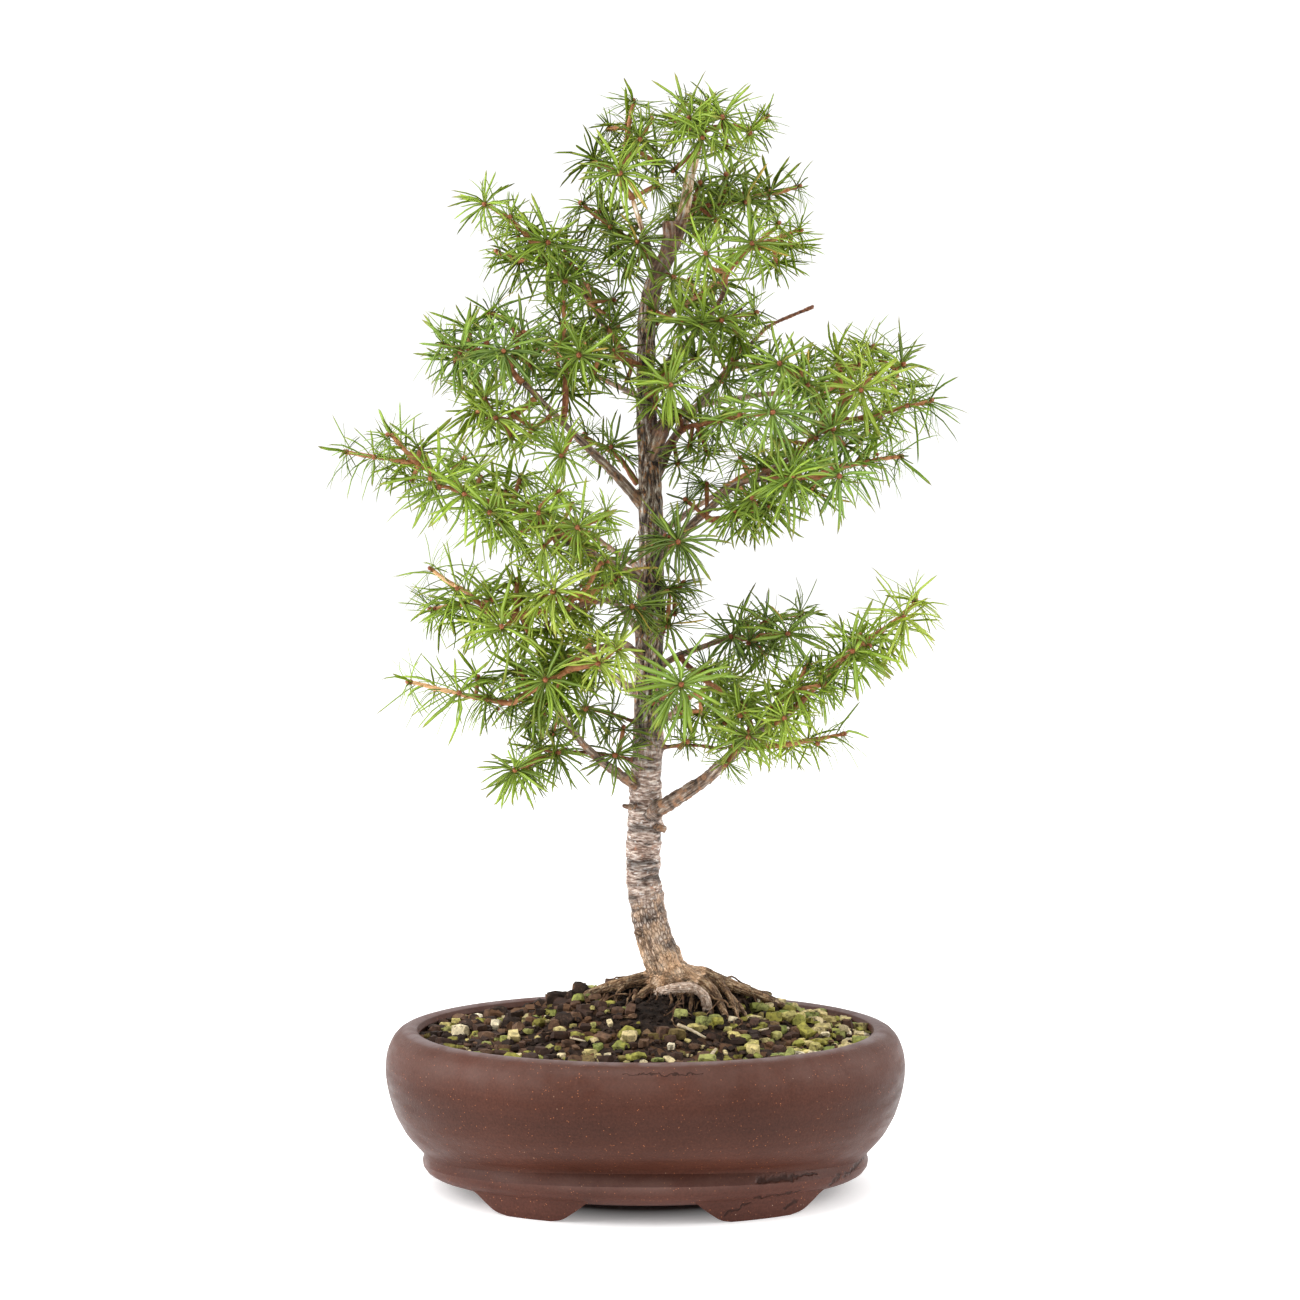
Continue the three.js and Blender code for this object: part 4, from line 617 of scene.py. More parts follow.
def add_tube(bm, line, sides):
    """A closed tube along a line of (x, y, z, radius): a grid that is rolled up and closed at both ends."""
    last = len(line) - 1
    frames = carried_frames(line)
    grid = bmesh.ops.create_grid(bm, x_segments=sides, y_segments=last, size=1)["verts"]
    for vert in grid:
        turn = -math.pi * (vert.co.x + 1)
        level = round((vert.co.y + 1) / 2 * last)
        across, up, _ = frames[level]
        round_it = across * math.cos(turn) + up * math.sin(turn)
        vert.co = line[level].to_3d() + round_it * line[level].w
    faces = {face for vert in grid for face in vert.link_faces}
    bmesh.ops.remove_doubles(bm, verts=grid, dist=1e-4)
    edges = {edge for face in faces for edge in face.edges if edge.is_boundary}
    closed = bmesh.ops.holes_fill(bm, edges=list(edges), sides=sides)
    for face in [*faces, *closed["faces"]]:
        face.smooth = True


def nearest_on(lines, place):
    """Where the lines come nearest to a place, and the way they run there."""
    best = None
    for line in lines:
        for start, end in zip(line, line[1:]):
            start, end = start.to_3d(), end.to_3d()
            way = end - start
            share = clamp((place - start).dot(way) / max(way.length_squared, 1e-9))
            at = start + way * share
            far = (place - at).length
            if best is None or far < best[0] - 1e-6:
                best = (far, at, way.normalized())
    return best


# ---------------------------------------------------------------- pieces from meshes

def mesh_of(bm):
    """The mesh of a bmesh, which is freed."""
    mesh = bpy.data.meshes.new("shape")
    bm.to_mesh(mesh)
    bm.free()
    return mesh


def added(name, data):
    """A new object in the scene, of a mesh, a lamp or a lens."""
    thing = bpy.data.objects.new(name, data)
    bpy.context.scene.collection.objects.link(thing)
    return thing


def smooth(mesh, sharp_from=None):
    """Gives a mesh smooth faces, but sharp edges where they meet at more than an angle in degrees."""
    mesh.polygons.foreach_set("use_smooth", [True] * len(mesh.polygons))
    if sharp_from:
        mesh.set_sharp_from_angle(angle=math.radians(sharp_from))


def finish_piece(name, mesh, materials, slot, *nodes):
    """Makes a piece of a mesh in millimetres: brings it to metres, dresses it and ties it to the model."""
    mesh.name = name
    mesh.transform(Matrix.Scale(MM, 4))
    for material in materials:
        mesh.materials.append(material)
    piece = added(name, mesh)
    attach(piece, BODY)
    if nodes:
        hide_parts(*nodes)


def shaped_mesh(bm, modifiers):
    """The mesh of a bmesh after the given modifiers: each a type and its values."""
    carrier = added("shape", mesh_of(bm))
    for kind, values in modifiers:
        modifier = carrier.modifiers.new(kind, kind)
        for key, value in values.items():
            setattr(modifier, key, value)
    depsgraph = bpy.context.evaluated_depsgraph_get()
    shaped = bpy.data.meshes.new_from_object(carrier.evaluated_get(depsgraph))
    bpy.data.objects.remove(carrier)
    return shaped


def joined(bm, others):
    """The mesh of a bmesh after a boolean with each of the others: pairs of operation and bmesh."""
    helpers = [added("helper", mesh_of(other)) for _, other in others]
    steps = [("BOOLEAN", {"operation": operation, "object": helper, "solver": "EXACT"})
             for (operation, _), helper in zip(others, helpers)]
    mesh = shaped_mesh(bm, steps)
    for helper in helpers:
        bpy.data.objects.remove(helper)
    return mesh


# ---------------------------------------------------------------- the parts of a finish

class Finish:
    """A material in the making, with short calls for the nodes that it needs."""

    def __init__(self, name, roughness, specular=0.5):
        self.material = bpy.data.materials.new(name)
        self.material.use_nodes = True
        self.tree = self.material.node_tree
        self.shader = self.tree.nodes["Principled BSDF"]
        self.shader.inputs["Roughness"].default_value = roughness
        self.shader.inputs["Specular IOR Level"].default_value = specular
        self.place = self.mapped(1 / MM)

    def node(self, kind, inputs, **values):
        made = self.tree.nodes.new("ShaderNode" + kind)
        for key, value in values.items():
            setattr(made, key, value)
        for key, value in inputs.items():
            if isinstance(value, bpy.types.NodeSocket):
                self.tree.links.new(value, made.inputs[key])
            else:
                made.inputs[key].default_value = value
        return made

    def mapped(self, *scale):
        """Object coordinates by one scale or by three: those of a place are in millimetres."""
        scale = scale * 3 if len(scale) == 1 else scale
        coordinates = self.node("TexCoord", {}).outputs["Object"]
        return self.node("Mapping", {"Vector": coordinates, "Scale": scale}).outputs["Vector"]

    def grain(self, across, along):
        """The place in the grain of the wood, in units of a size across it and a size along it."""
        scale = (1 / across, 1 / across, 1 / along)
        grain = self.attribute("grain").outputs["Vector"]
        return self.node("Mapping", {"Vector": grain, "Scale": scale}).outputs["Vector"]

    def noise(self, size, detail=3, roughness=0.55, place=None):
        inputs = {"Vector": place or self.place, "Scale": 1 / size, "Detail": detail, "Roughness": roughness}
        return self.node("TexNoise", inputs).outputs["Fac"]

    def streaks(self, across, along, detail=4, roughness=0.65):
        """Noise that is drawn out along the grain of the wood, or across it."""
        return self.noise(1, detail, roughness, self.grain(across, along))

    def cells(self, size, place=None, feature="F1"):
        """Cells of a size: how far off their middles or edges are, and a colour for each."""
        inputs = {"Vector": place or self.place, "Scale": 1 / size}
        return self.node("TexVoronoi", inputs, feature=feature).outputs

    def math(self, operation, a, b=0.0, clamped=False):
        return self.node("Math", {0: a, 1: b}, operation=operation, use_clamp=clamped).outputs[0]

    def times(self, a, b):
        return self.math("MULTIPLY", a, b)

    def vector(self, operation, *values, **inputs):
        """A sum with places or ways: it gives a number where it measures, and else a place."""
        made = self.node("VectorMath", {**dict(enumerate(values)), **inputs}, operation=operation)
        return made.outputs["Value" if operation in ("DOT_PRODUCT", "DISTANCE", "LENGTH") else "Vector"]

    def coordinate(self, axis):
        """How far a place lies from the origin along X, Y or Z, in millimetres."""
        return self.node("SeparateXYZ", {0: self.place}).outputs[axis]

    def parts(self, colour):
        """The red, green and blue of a colour."""
        return self.node("SeparateColor", {0: colour}).outputs

    def attribute(self, name):
        return self.node("Attribute", {}, attribute_name=name)

    def ramp(self, value, *stops):
        """A value turned to colours: each stop is a place from 0 to 1 and a colour or a grey."""
        made = self.node("ValToRGB", {"Fac": value})
        steps = made.color_ramp.elements
        while len(steps) < len(stops):
            steps.new(0.5)
        for step, (at, colour) in zip(steps, stops):
            step.position = at
            step.color = (*colour, 1) if hasattr(colour, "__len__") else (colour, colour, colour, 1)
        return made.outputs["Color"]

    def blend(self, share, a, b, blend_type="MIX"):
        a, b = (part if isinstance(part, bpy.types.NodeSocket) else (*part, 1) for part in (a, b))
        return self.node("Mix", {0: share, 6: a, 7: b}, data_type="RGBA", blend_type=blend_type).outputs[2]

    def shaded(self, colour, by):
        """A colour made lighter or darker by another."""
        return self.blend(1.0, colour, by, "MULTIPLY")

    def colour(self, colour):
        self.tree.links.new(colour, self.shader.inputs["Base Color"])

    def roughness(self, value):
        self.tree.links.new(value, self.shader.inputs["Roughness"])

    def bump(self, height, distance, strength=1.0):
        """Relief of the given height in millimetres."""
        made = self.node("Bump", {"Height": height, "Distance": distance * MM, "Strength": strength})
        self.tree.links.new(made.outputs["Normal"], self.shader.inputs["Normal"])


def scaled(colour, by):
    return tuple(clamp(part * by) for part in colour)


# ---------------------------------------------------------------- finishes

def cracks(look):
    """From 0 to 1 how near a place on the pot's front is to one of the ragged open lines in its clay."""
    stray = look.node("TexNoise", {"Vector": look.place, "Scale": 0.3}).outputs["Color"]
    stray = look.vector("SCALE", look.vector("SUBTRACT", stray, (0.5, 0.5, 0.5)), Scale=CRACK_STRAY)
    seen = look.vector("MULTIPLY", look.vector("ADD", look.place, stray), (1, 0, 1))
    nearest = 0.0
    for (x, z), (end_x, end_z), reach in CRACKS:
        way = Vector((end_x - x, 0, end_z - z))
        off = look.vector("SUBTRACT", seen, (x, 0, z))
        share = look.math("ADD", look.vector("DOT_PRODUCT", off, way / way.length_squared), 0.0, True)
        far = look.vector("DISTANCE", off, look.vector("SCALE", way, Scale=share))
        near = look.ramp(look.math("DIVIDE", far, reach), (0.3, 1.0), (1.0, 0.0))
        nearest = look.math("MAXIMUM", nearest, near)
    return look.times(nearest, look.math("LESS_THAN", look.coordinate("Y"), 0.0))


def sandy_clay(look):
    """Reddish brown clay with smears, fine sand and tiny orange specks."""
    clay = tuple(settings().clay_colour)
    colour = look.ramp(look.noise(38, 4), (0.3, scaled(clay, 0.86)), (0.7, scaled(clay, 1.16)))
    smears = look.noise(1, 3, 0.6, look.mapped(12, 12, 600))
    colour = look.shaded(colour, look.ramp(smears, (0.35, 0.95), (0.65, 1.04)))
    colour = look.shaded(colour, look.ramp(look.noise(0.9, 2), (0.35, 0.84), (0.65, 1.12)))
    for size, far, tint in CLAY_SPECKS:
        speck = look.ramp(look.cells(size)["Distance"], (far * 0.6, 1.0), (far * 1.5, 0.0))
        kept = look.ramp(look.noise(size * 2, 1), (0.52, 0.0), (0.6, 0.9))
        colour = look.blend(look.times(speck, kept), colour, tint)
    return colour


def unglazed_clay():
    """Clay with painted light and shade, lighter at its foot and shoulder and darker on the belly, a painted
    highlight on the ring, a pale shoulder that is partly the clay's own and partly painted sheen, a dusty lip
    and cracks.
    """
    look = Finish("unglazed clay", 0.4, 0.13)
    height = look.math("DIVIDE", look.coordinate("Z"), 100)
    # Painted light and shade by height: lighter at the foot, the ring and the shoulder, darker on the belly.
    painted_light_by_height = look.ramp(height, (0.06, (1.6, 1.75, 2.0)), (0.17, (1.25, 1.3, 1.4)), (0.26, 1.15),
                          (0.42, 0.92), (0.6, 1.4))
    colour = look.shaded(sandy_clay(look), painted_light_by_height)
    # A painted highlight along the roll of the ring, strongest at its front and back.
    to_front = look.math("ABSOLUTE", look.math("DIVIDE", look.coordinate("Y"), 78))
    ring = look.ramp(height, (0.125, 0.0), (0.165, 0.5), (0.185, 0.5), (0.215, 0.0))
    ring = look.times(ring, look.math("POWER", to_front, 3, True))
    ring = look.times(ring, look.ramp(look.noise(16, 3), (0.35, 0.5), (0.6, 1.0)))
    colour = look.blend(ring, colour, (0.19, 0.115, 0.098))
    # The pale blush on the shoulder is partly a pale film on the clay itself and partly painted sheen.
    bloom_and_sheen = look.ramp(height, (0.5, 0.0), (0.58, 1.0))
    bloom_and_sheen = look.times(bloom_and_sheen, look.ramp(look.noise(13, 3), (0.36, 0.1), (0.64, 0.32)))
    colour = look.blend(bloom_and_sheen, colour, (0.15, 0.092, 0.078))
    lip = look.ramp(height, (0.648, 0.0), (0.656, 1.0))
    lip = look.times(lip, look.ramp(look.noise(7, 3), (0.35, 0.15), (0.6, 0.52)))
    colour = look.blend(lip, colour, (0.22, 0.17, 0.17))
    cracked = cracks(look)
    look.colour(look.blend(look.times(cracked, 0.75), colour, (0.022, 0.009, 0.006)))
    look.roughness(look.ramp(look.noise(1, 3, 0.6, look.mapped(60, 60, 260)), (0.3, 0.34), (0.7, 0.52)))
    sand = look.math("ADD", look.noise(0.7, 2), look.times(look.noise(4, 3), 1.5))
    look.bump(look.math("SUBTRACT", sand, look.times(cracked, 4)), 0.13, 0.6)
    return look.material


def black_mesh_plastic():
    look = Finish("black mesh plastic", 0.5)
    look.colour(look.ramp(look.noise(2.5), (0.3, (0.012, 0.013, 0.013)), (0.7, (0.028, 0.029, 0.03))))
    look.bump(look.noise(0.6), 0.05, 0.5)
    return look.material


def moist_compost():
    """Dark, crumbly compost, with brown crumbs away from the middle of the mound, and painted shade that
    darkens it towards that middle, under the roots.
    """
    look = Finish("moist compost", 0.92, 0.3)
    dark = tuple(settings().compost_colour)
    colour = look.ramp(look.noise(2.2, 5, 0.7), (0.34, scaled(dark, 0.35)), (0.54, dark),
                       (0.74, scaled(dark, 3.4)))
    far = look.vector("DISTANCE", look.place, SHADED_MIDDLE)
    away = look.ramp(look.math("DIVIDE", far, 100), (0.24, 0.1), (0.4, 1.0))
    crumb = look.parts(look.cells(3.4)["Color"])[0]
    brown = look.times(away, look.ramp(crumb, (0.66, 0.0), (0.74, 0.75)))
    colour = look.blend(brown, colour, (0.17, 0.085, 0.042))
    # Painted shade: darker towards the middle of the mound, under the roots.
    look.colour(look.shaded(colour, look.ramp(away, (0.1, 0.55), (1.0, 1.0))))
    look.bump(look.noise(1.1, 4, 0.7), 0.7, 0.9)
    return look.material


def mixed_grit():
    """Grains of olive, green, cream and brown, by the tone that each one carries."""
    look = Finish("mixed grit", 0.85, 0.35)
    tone = look.attribute("tone").outputs["Fac"]
    stone = look.ramp(
        tone, (0.0, (0.030, 0.015, 0.010)), (0.2, (0.085, 0.04, 0.024)), (0.36, (0.19, 0.105, 0.058)),
        (0.42, (0.21, 0.18, 0.032)), (0.54, (0.40, 0.37, 0.07)), (0.64, (0.22, 0.27, 0.07)),
        (0.8, (0.60, 0.50, 0.17)), (0.93, (0.74, 0.60, 0.32)), (1.0, (0.93, 0.82, 0.60)))
    colour = look.shaded(stone, look.ramp(look.noise(2.4, 3, 0.6), (0.32, 0.5), (0.66, 1.2)))
    dirt = look.ramp(look.noise(2.6, 4, 0.7), (0.53, 0.0), (0.66, 0.8))
    look.colour(look.blend(dirt, colour, (0.035, 0.021, 0.013)))
    look.bump(look.noise(0.7, 3, 0.7), 0.35, 0.8)
    return look.material


class Bark(Finish):
    """Bark in the making, with a colour for each age of the wood."""

    def __init__(self):
        super().__init__("larch bark", 0.7, 0.35)
        self.patches = self.noise(6, 4, 0.6)
        self.wrinkles = self.streaks(3.4, 0.78, 2, 0.6)
        self.furrows = self.streaks(1.15, 4.6)
        self.fibres = self.streaks(0.6, 5)
        self.scales = self.grain(1.15, 2.7)
        self.joints = self.cells(1, self.scales, "DISTANCE_TO_EDGE")["Distance"]

    def tan_foot(self):
        """Streaky tan bark with darker fibres and joints, round the foot of the trunk."""
        streaky = self.math("ADD", self.times(self.patches, 0.6), self.times(self.fibres, 0.4))
        tan = self.ramp(streaky, (0.3, (0.42, 0.21, 0.095)), (0.44, (0.78, 0.47, 0.26)),
                        (0.56, (0.93, 0.66, 0.45)), (0.68, (1.0, 0.87, 0.74)))
        tan = self.blend(self.ramp(self.fibres, (0.34, 0.8), (0.45, 0.0)), tan, (0.26, 0.13, 0.065))
        return self.blend(self.ramp(self.joints, (0.02, 0.3), (0.1, 0.0)), tan, (0.22, 0.12, 0.07))

    def scaly_stem(self):
        """Grey and brown scales above the foot."""
        scaly = self.ramp(self.joints, (0.02, (0.17, 0.105, 0.075)), (0.14, (0.44, 0.33, 0.26)),
                          (0.4, (0.72, 0.61, 0.53)))
        scale = self.parts(self.cells(1, self.scales)["Color"])[0]
        scaly = self.blend(self.ramp(scale, (0.5, 0.0), (0.75, 0.6)), scaly, (0.66, 0.42, 0.26))
        return self.blend(self.ramp(self.fibres, (0.36, 0.8), (0.46, 0.0)), scaly, (0.17, 0.10, 0.07))

    def wrinkled_stem(self):
        """Pinkish grey bark that is wrinkled across the stem, with white flecks that are partly pale wax and
        partly painted highlights, and reddish patches.
        """
        pink = self.ramp(self.wrinkles, (0.35, (0.09, 0.05, 0.036)), (0.44, (0.27, 0.18, 0.14)),
                         (0.53, (0.46, 0.35, 0.29)), (0.64, (0.74, 0.65, 0.59)))
        bands = self.streaks(6, 1.7, 3, 0.6)
        pink = self.blend(self.ramp(bands, (0.36, 0.55), (0.47, 0.0)), pink, (0.16, 0.09, 0.062))
        # White flecks: partly pale wax on the bark, partly painted highlights.
        white = self.streaks(2.6, 1.0, 2, 0.5)
        pink = self.blend(self.ramp(white, (0.62, 0.0), (0.69, 0.75)), pink, (0.85, 0.82, 0.80))
        return self.blend(self.ramp(self.noise(2.6, 3), (0.62, 0.0), (0.7, 0.7)), pink, (0.42, 0.20, 0.12))

    def furrowed_stem(self):
        """Grey bark with dark furrows and orange flakes, up inside the crown."""
        grey = self.ramp(self.furrows, (0.38, (0.018, 0.010, 0.007)), (0.45, (0.085, 0.05, 0.034)),
                         (0.52, (0.25, 0.18, 0.135)), (0.59, (0.50, 0.43, 0.37)), (0.67, (0.86, 0.82, 0.77)))
        flakes = self.streaks(1.0, 2.6, 3, 0.6)
        return self.blend(self.ramp(flakes, (0.57, 0.0), (0.62, 0.85)), grey, (0.46, 0.21, 0.085))

    def leader(self):
        """Pale, smooth bark of the youngest part of the trunk."""
        return self.ramp(self.furrows, (0.36, (0.16, 0.08, 0.04)), (0.45, (0.60, 0.35, 0.18)),
                         (0.54, (0.92, 0.70, 0.48)), (0.63, (1.0, 0.95, 0.88)))

    def limb(self, thick):
        """Grey and brown bark of a limb, which is redder where the limb is thin."""
        limb = self.ramp(self.streaks(0.9, 6, 4, 0.62), (0.34, (0.045, 0.028, 0.02)),
                         (0.46, (0.16, 0.105, 0.075)), (0.57, (0.33, 0.25, 0.19)), (0.7, (0.70, 0.62, 0.54)))
        limb = self.blend(self.ramp(self.noise(2.6, 4), (0.48, 0.0), (0.6, 0.7)), limb, (0.40, 0.20, 0.10))
        twig = self.ramp(self.noise(1.8, 4, 0.65), (0.36, (0.07, 0.024, 0.012)), (0.54, (0.26, 0.09, 0.04)),
                         (0.68, (0.50, 0.25, 0.13)))
        return self.blend(self.ramp(thick, (0.085, 0.9), (0.12, 0.0)), limb, twig)

    def root(self, paleness_there):
        """Brown bark of a root, with dark patches, or the pale skin of the curled one."""
        old = self.ramp(self.streaks(1.1, 4.5), (0.36, (0.075, 0.034, 0.016)), (0.52, (0.34, 0.20, 0.10)),
                        (0.68, (0.70, 0.53, 0.35)))
        dark = self.ramp(self.noise(5, 4, 0.65), (0.5, 0.0), (0.6, 0.85))
        old = self.blend(dark, old, (0.10, 0.055, 0.028))
        pale = self.ramp(self.streaks(1.6, 1.4, 4, 0.6), (0.32, (0.38, 0.23, 0.155)),
                         (0.5, (0.68, 0.49, 0.37)), (0.66, (0.90, 0.75, 0.63)))
        return self.blend(paleness_there, old, pale)

    def pruned(self, colour):
        """A colour with the reddish wood of the long stubs over it."""
        share = 0.0
        for middle, reach in PRUNED:
            far = self.math("DIVIDE", self.vector("DISTANCE", self.place, middle), reach)
            share = self.math("MAXIMUM", self.ramp(far, (0.6, 0.75), (1.0, 0.0)), share)
        red = self.ramp(self.noise(2.6, 3), (0.4, (0.04, 0.02, 0.015)), (0.58, (0.14, 0.05, 0.034)),
                        (0.68, (0.36, 0.24, 0.17)))
        return self.blend(share, colour, red)


def larch_bark():
    """Bark by the age of the wood: tan scales at the foot, pinkish grey wrinkles, then dark furrows."""
    look = Bark()
    wood = look.attribute("wood")
    thick, root, deep = look.parts(wood.outputs["Color"])
    height = look.math("DIVIDE", look.coordinate("Z"), 500)
    wobble = look.times(look.math("SUBTRACT", look.noise(8, 3), 0.5), 0.07)
    level = look.math("ADD", height, wobble)
    colour = look.tan_foot()
    for bark, low, high in ((look.scaly_stem(), 0.185, 0.212), (look.wrinkled_stem(), 0.228, 0.25),
                            (look.furrowed_stem(), 0.33, 0.39)):
        colour = look.blend(look.ramp(level, (low, 0.0), (high, 1.0)), colour, bark)
    thin = look.times(look.ramp(thick, (0.27, 1.0), (0.36, 0.0)), look.ramp(height, (0.19, 0.0), (0.22, 1.0)))
    colour = look.blend(thin, colour, look.limb(thick))
    colour = look.blend(look.ramp(level, (0.745, 0.0), (0.79, 1.0)), colour, look.leader())
    colour = look.blend(root, colour, look.root(wood.outputs["Alpha"]))
    # Painted shade and light from the relief: darker in the cracks of the bark, lighter on its raised scales
    # and ridges.
    colour = look.shaded(colour, look.ramp(deep, (0.2, 0.26), (0.5, 0.98), (0.85, 1.28)))
    look.colour(look.pruned(colour))
    look.roughness(look.ramp(look.patches, (0.3, 0.55), (0.7, 0.8)))
    low = look.ramp(level, (0.228, 1.0), (0.25, 0.0))
    scales = look.times(look.ramp(look.joints, (0.0, 0.0), (0.2, 1.0)), low)
    look.bump(look.math("ADD", scales, look.math("ADD", look.wrinkles, look.furrows)), 0.55, 1.0)
    return look.material


def young_bark():
    """Thin bark of twigs: from brown on older ones to orange and tan at their tips."""
    look = Finish("young bark", 0.62, 0.4)
    leaf = look.attribute("leaf")
    young, pale, _ = look.parts(leaf.outputs["Color"])
    old = look.ramp(look.noise(1.8, 4, 0.65), (0.32, (0.05, 0.015, 0.007)), (0.5, (0.20, 0.058, 0.020)),
                    (0.64, (0.40, 0.155, 0.062)), (0.75, (0.60, 0.36, 0.20)))
    fresh = look.ramp(look.noise(2.0, 3), (0.3, (0.32, 0.10, 0.030)), (0.7, (0.62, 0.30, 0.12)))
    palest = look.ramp(look.noise(2.0, 3), (0.3, (0.78, 0.38, 0.16)), (0.7, (1.0, 0.64, 0.35)))
    look.colour(look.blend(pale, look.blend(young, old, fresh), palest))
    look.bump(look.math("ADD", look.noise(0.8, 3), leaf.outputs["Fac"]), 0.2, 0.7)
    return look.material


def larch_needle():
    """Fresh needles: a paler midrib and foot, and tips that turn olive. A few whole needles are dry. Their
    lightness paints light and shade on them, from darker to lighter copies of each green.
    """
    look = Finish("larch needle", 0.46, 0.12)
    leaf = look.attribute("leaf")
    along, rim, light = look.parts(leaf.outputs["Color"])
    warmth = leaf.outputs["Alpha"]
    green = tuple(settings().needle_colour)
    # Shaded and lit copies of each green, chosen by the painted lightness.
    base, cool, warm = (look.ramp(light, *zip((0.0, 0.5, 1.0), tones)) for tones in (
        [scaled(green, share) for share in (0.26, 0.85, 1.42)],
        [(0.055, 0.125, 0.02), (0.20, 0.365, 0.075), (0.34, 0.53, 0.135)],
        [(0.14, 0.18, 0.015), (0.38, 0.49, 0.045), (0.54, 0.64, 0.11)]))
    colour = look.blend(look.ramp(warmth, (0.05, 1.0), (0.45, 0.0)), base, cool)
    colour = look.blend(look.ramp(warmth, (0.55, 0.0), (0.9, 0.9)), colour, warm)
    colour = look.blend(look.ramp(warmth, (0.96, 0.0), (0.99, 1.0)), colour, (0.55, 0.36, 0.06))
    rib = look.times(look.ramp(rim, (0.0, 0.42), (0.6, 0.0)), look.ramp(along, (0.7, 1.0), (1.0, 0.0)))
    colour = look.blend(rib, colour, (0.46, 0.60, 0.22))
    olive = look.ramp(look.noise(9, 1), (0.38, 0.1), (0.56, 1.0))
    tip = look.times(look.ramp(along, (0.72, 0.0), (1.0, 0.9)), olive)
    colour = look.blend(tip, colour, (0.27, 0.21, 0.05))
    look.colour(look.blend(look.ramp(along, (0.0, 0.55), (0.14, 0.0)), colour, (0.30, 0.36, 0.11)))
    look.bump(look.noise(0.5, 2), 0.04, 0.3)
    return look.material


def bud_scales():
    look = Finish("bud scales", 0.5, 0.4)
    look.colour(look.ramp(look.noise(0.9, 3), (0.3, (0.12, 0.032, 0.013)), (0.55, (0.34, 0.105, 0.036)),
                          (0.75, (0.50, 0.24, 0.09))))
    look.bump(look.cells(0.8)["Distance"], 0.3, 0.8)
    return look.material


def dry_root():
    look = Finish("dry root", 0.85, 0.25)
    look.colour(look.ramp(look.noise(5, 4), (0.34, (0.045, 0.022, 0.013)), (0.5, (0.13, 0.068, 0.035)),
                          (0.66, (0.34, 0.22, 0.125))))
    look.bump(look.noise(0.8, 3), 0.25, 0.8)
    return look.material


def dry_straw():
    look = Finish("dry straw", 0.6)
    grain = look.mapped(1 / MM, 3 / MM, 3 / MM)
    look.colour(look.ramp(look.noise(2, 3, 0.6, grain), (0.3, (0.36, 0.25, 0.13)), (0.7, (0.68, 0.60, 0.43))))
    look.bump(look.noise(0.7, 3), 0.15, 0.6)
    return look.material


def pale_floor():
    """A white floor with a painted shadow under the pot: its colour is a little darker there, and its glow,
    lowest under the pot and strongest just beside it, paints light that no lamp gives.
    """
    look = Finish("pale floor", 0.9, 0.1)
    away = look.vector("LENGTH", look.mapped(1, 1.25, 1))
    clouds = look.ramp(look.noise(400, 2), (0.3, 0.83), (0.7, 0.86))
    # Painted shadow: the floor's colour darkens under the pot.
    look.colour(look.shaded(clouds, look.ramp(away, (0.045, 0.5), (0.076, 1.0))))
    # A painted glow that no lamp gives: none under the pot, most just beside it, less far off.
    glow = look.ramp(away, (0.055, 0.0), (0.072, 0.2), (0.09, 0.46), (0.106, 0.72), (0.13, 0.95), (0.6, 0.45))
    look.tree.links.new(glow, look.shader.inputs["Emission Strength"])
    look.shader.inputs["Emission Color"].default_value = (1, 1, 1, 1)
    return look.material


# ---------------------------------------------------------------- pot

def oval_depth(half_width):
    ratio = (OVAL_LIMIT - OVAL_DIFFERENCE) / OVAL_LIMIT
    return half_width - OVAL_DIFFERENCE if half_width > OVAL_LIMIT else half_width * ratio


def make_oval(verts):
    """Squashes a round shape to the oval of the pot."""
    for vert in verts:
        half_width = vert.co.xy.length
        if half_width > 1e-6:
            vert.co.y *= oval_depth(half_width) / half_width


def spun(section, change=None):
    """A closed oval shape by its section, as half width and height. A change is made while it is round."""
    bm = bmesh.new()
    verts = [bm.verts.new((point[0], 0, point[1])) for point in section]
    edges = [bm.edges.new(pair) for pair in zip(verts, verts[1:])]
    if section[0][0] > 0:
        edges.append(bm.edges.new((verts[-1], verts[0])))
    bmesh.ops.spin(bm, geom=verts + edges, axis=(0, 0, 1), cent=(0, 0, 0), steps=POT_SIDES,
                   angle=math.tau, use_merge=True)
    bmesh.ops.remove_doubles(bm, verts=bm.verts, dist=1e-3)
    bmesh.ops.recalc_face_normals(bm, faces=bm.faces)
    if change:
        change(bm)
    make_oval(bm.verts)
    return bm


def hump(height, span):
    """From 0 at both ends of a span to 1 at its middle value."""
    low, top, high = span
    near = clamp((height - low) / (top - low)) if height < top else clamp((high - height) / (high - top))
    return near * near * (3 - 2 * near)


def swell_ring(bm):
    """Raises and swells the ring round the pot's foot towards the front and the back of a round bowl."""
    bm.normal_update()
    for vert in bm.verts:
        out = Vector((vert.co.x, vert.co.y, 0))
        if vert.normal.dot(out) <= 0 or not out.length:
            continue
        out.normalize()
        share = out.y ** 2
        rise = RING_RISE * hump(vert.co.z, RING_RISE_SPAN)
        swell = RING_SWELL * hump(vert.co.z, RING_SWELL_SPAN)
        vert.co += (out * swell + UP * rise) * share


def pot_bowl():
    section = [Vector(POT_SECTION[0][0])]
    for run in POT_SECTION:
        section += smooth_run(run, POT_STEP)[1:]
    return spun(section, swell_ring)


def cross_block(outline):
    """A block with an outline in x and height, deep enough to pass through the whole pot."""
    bm = bmesh.new()
    face = bm.faces.new([bm.verts.new((x, -CUT_DEPTH / 2, z)) for x, z in outline])
    bmesh.ops.extrude_face_region(bm, geom=[face], use_keep_orig=True)
    bm.verts.ensure_lookup_table()
    bmesh.ops.translate(bm, vec=(0, CUT_DEPTH, 0), verts=bm.verts[len(outline):])
    bmesh.ops.recalc_face_normals(bm, faces=bm.faces)
    return bm


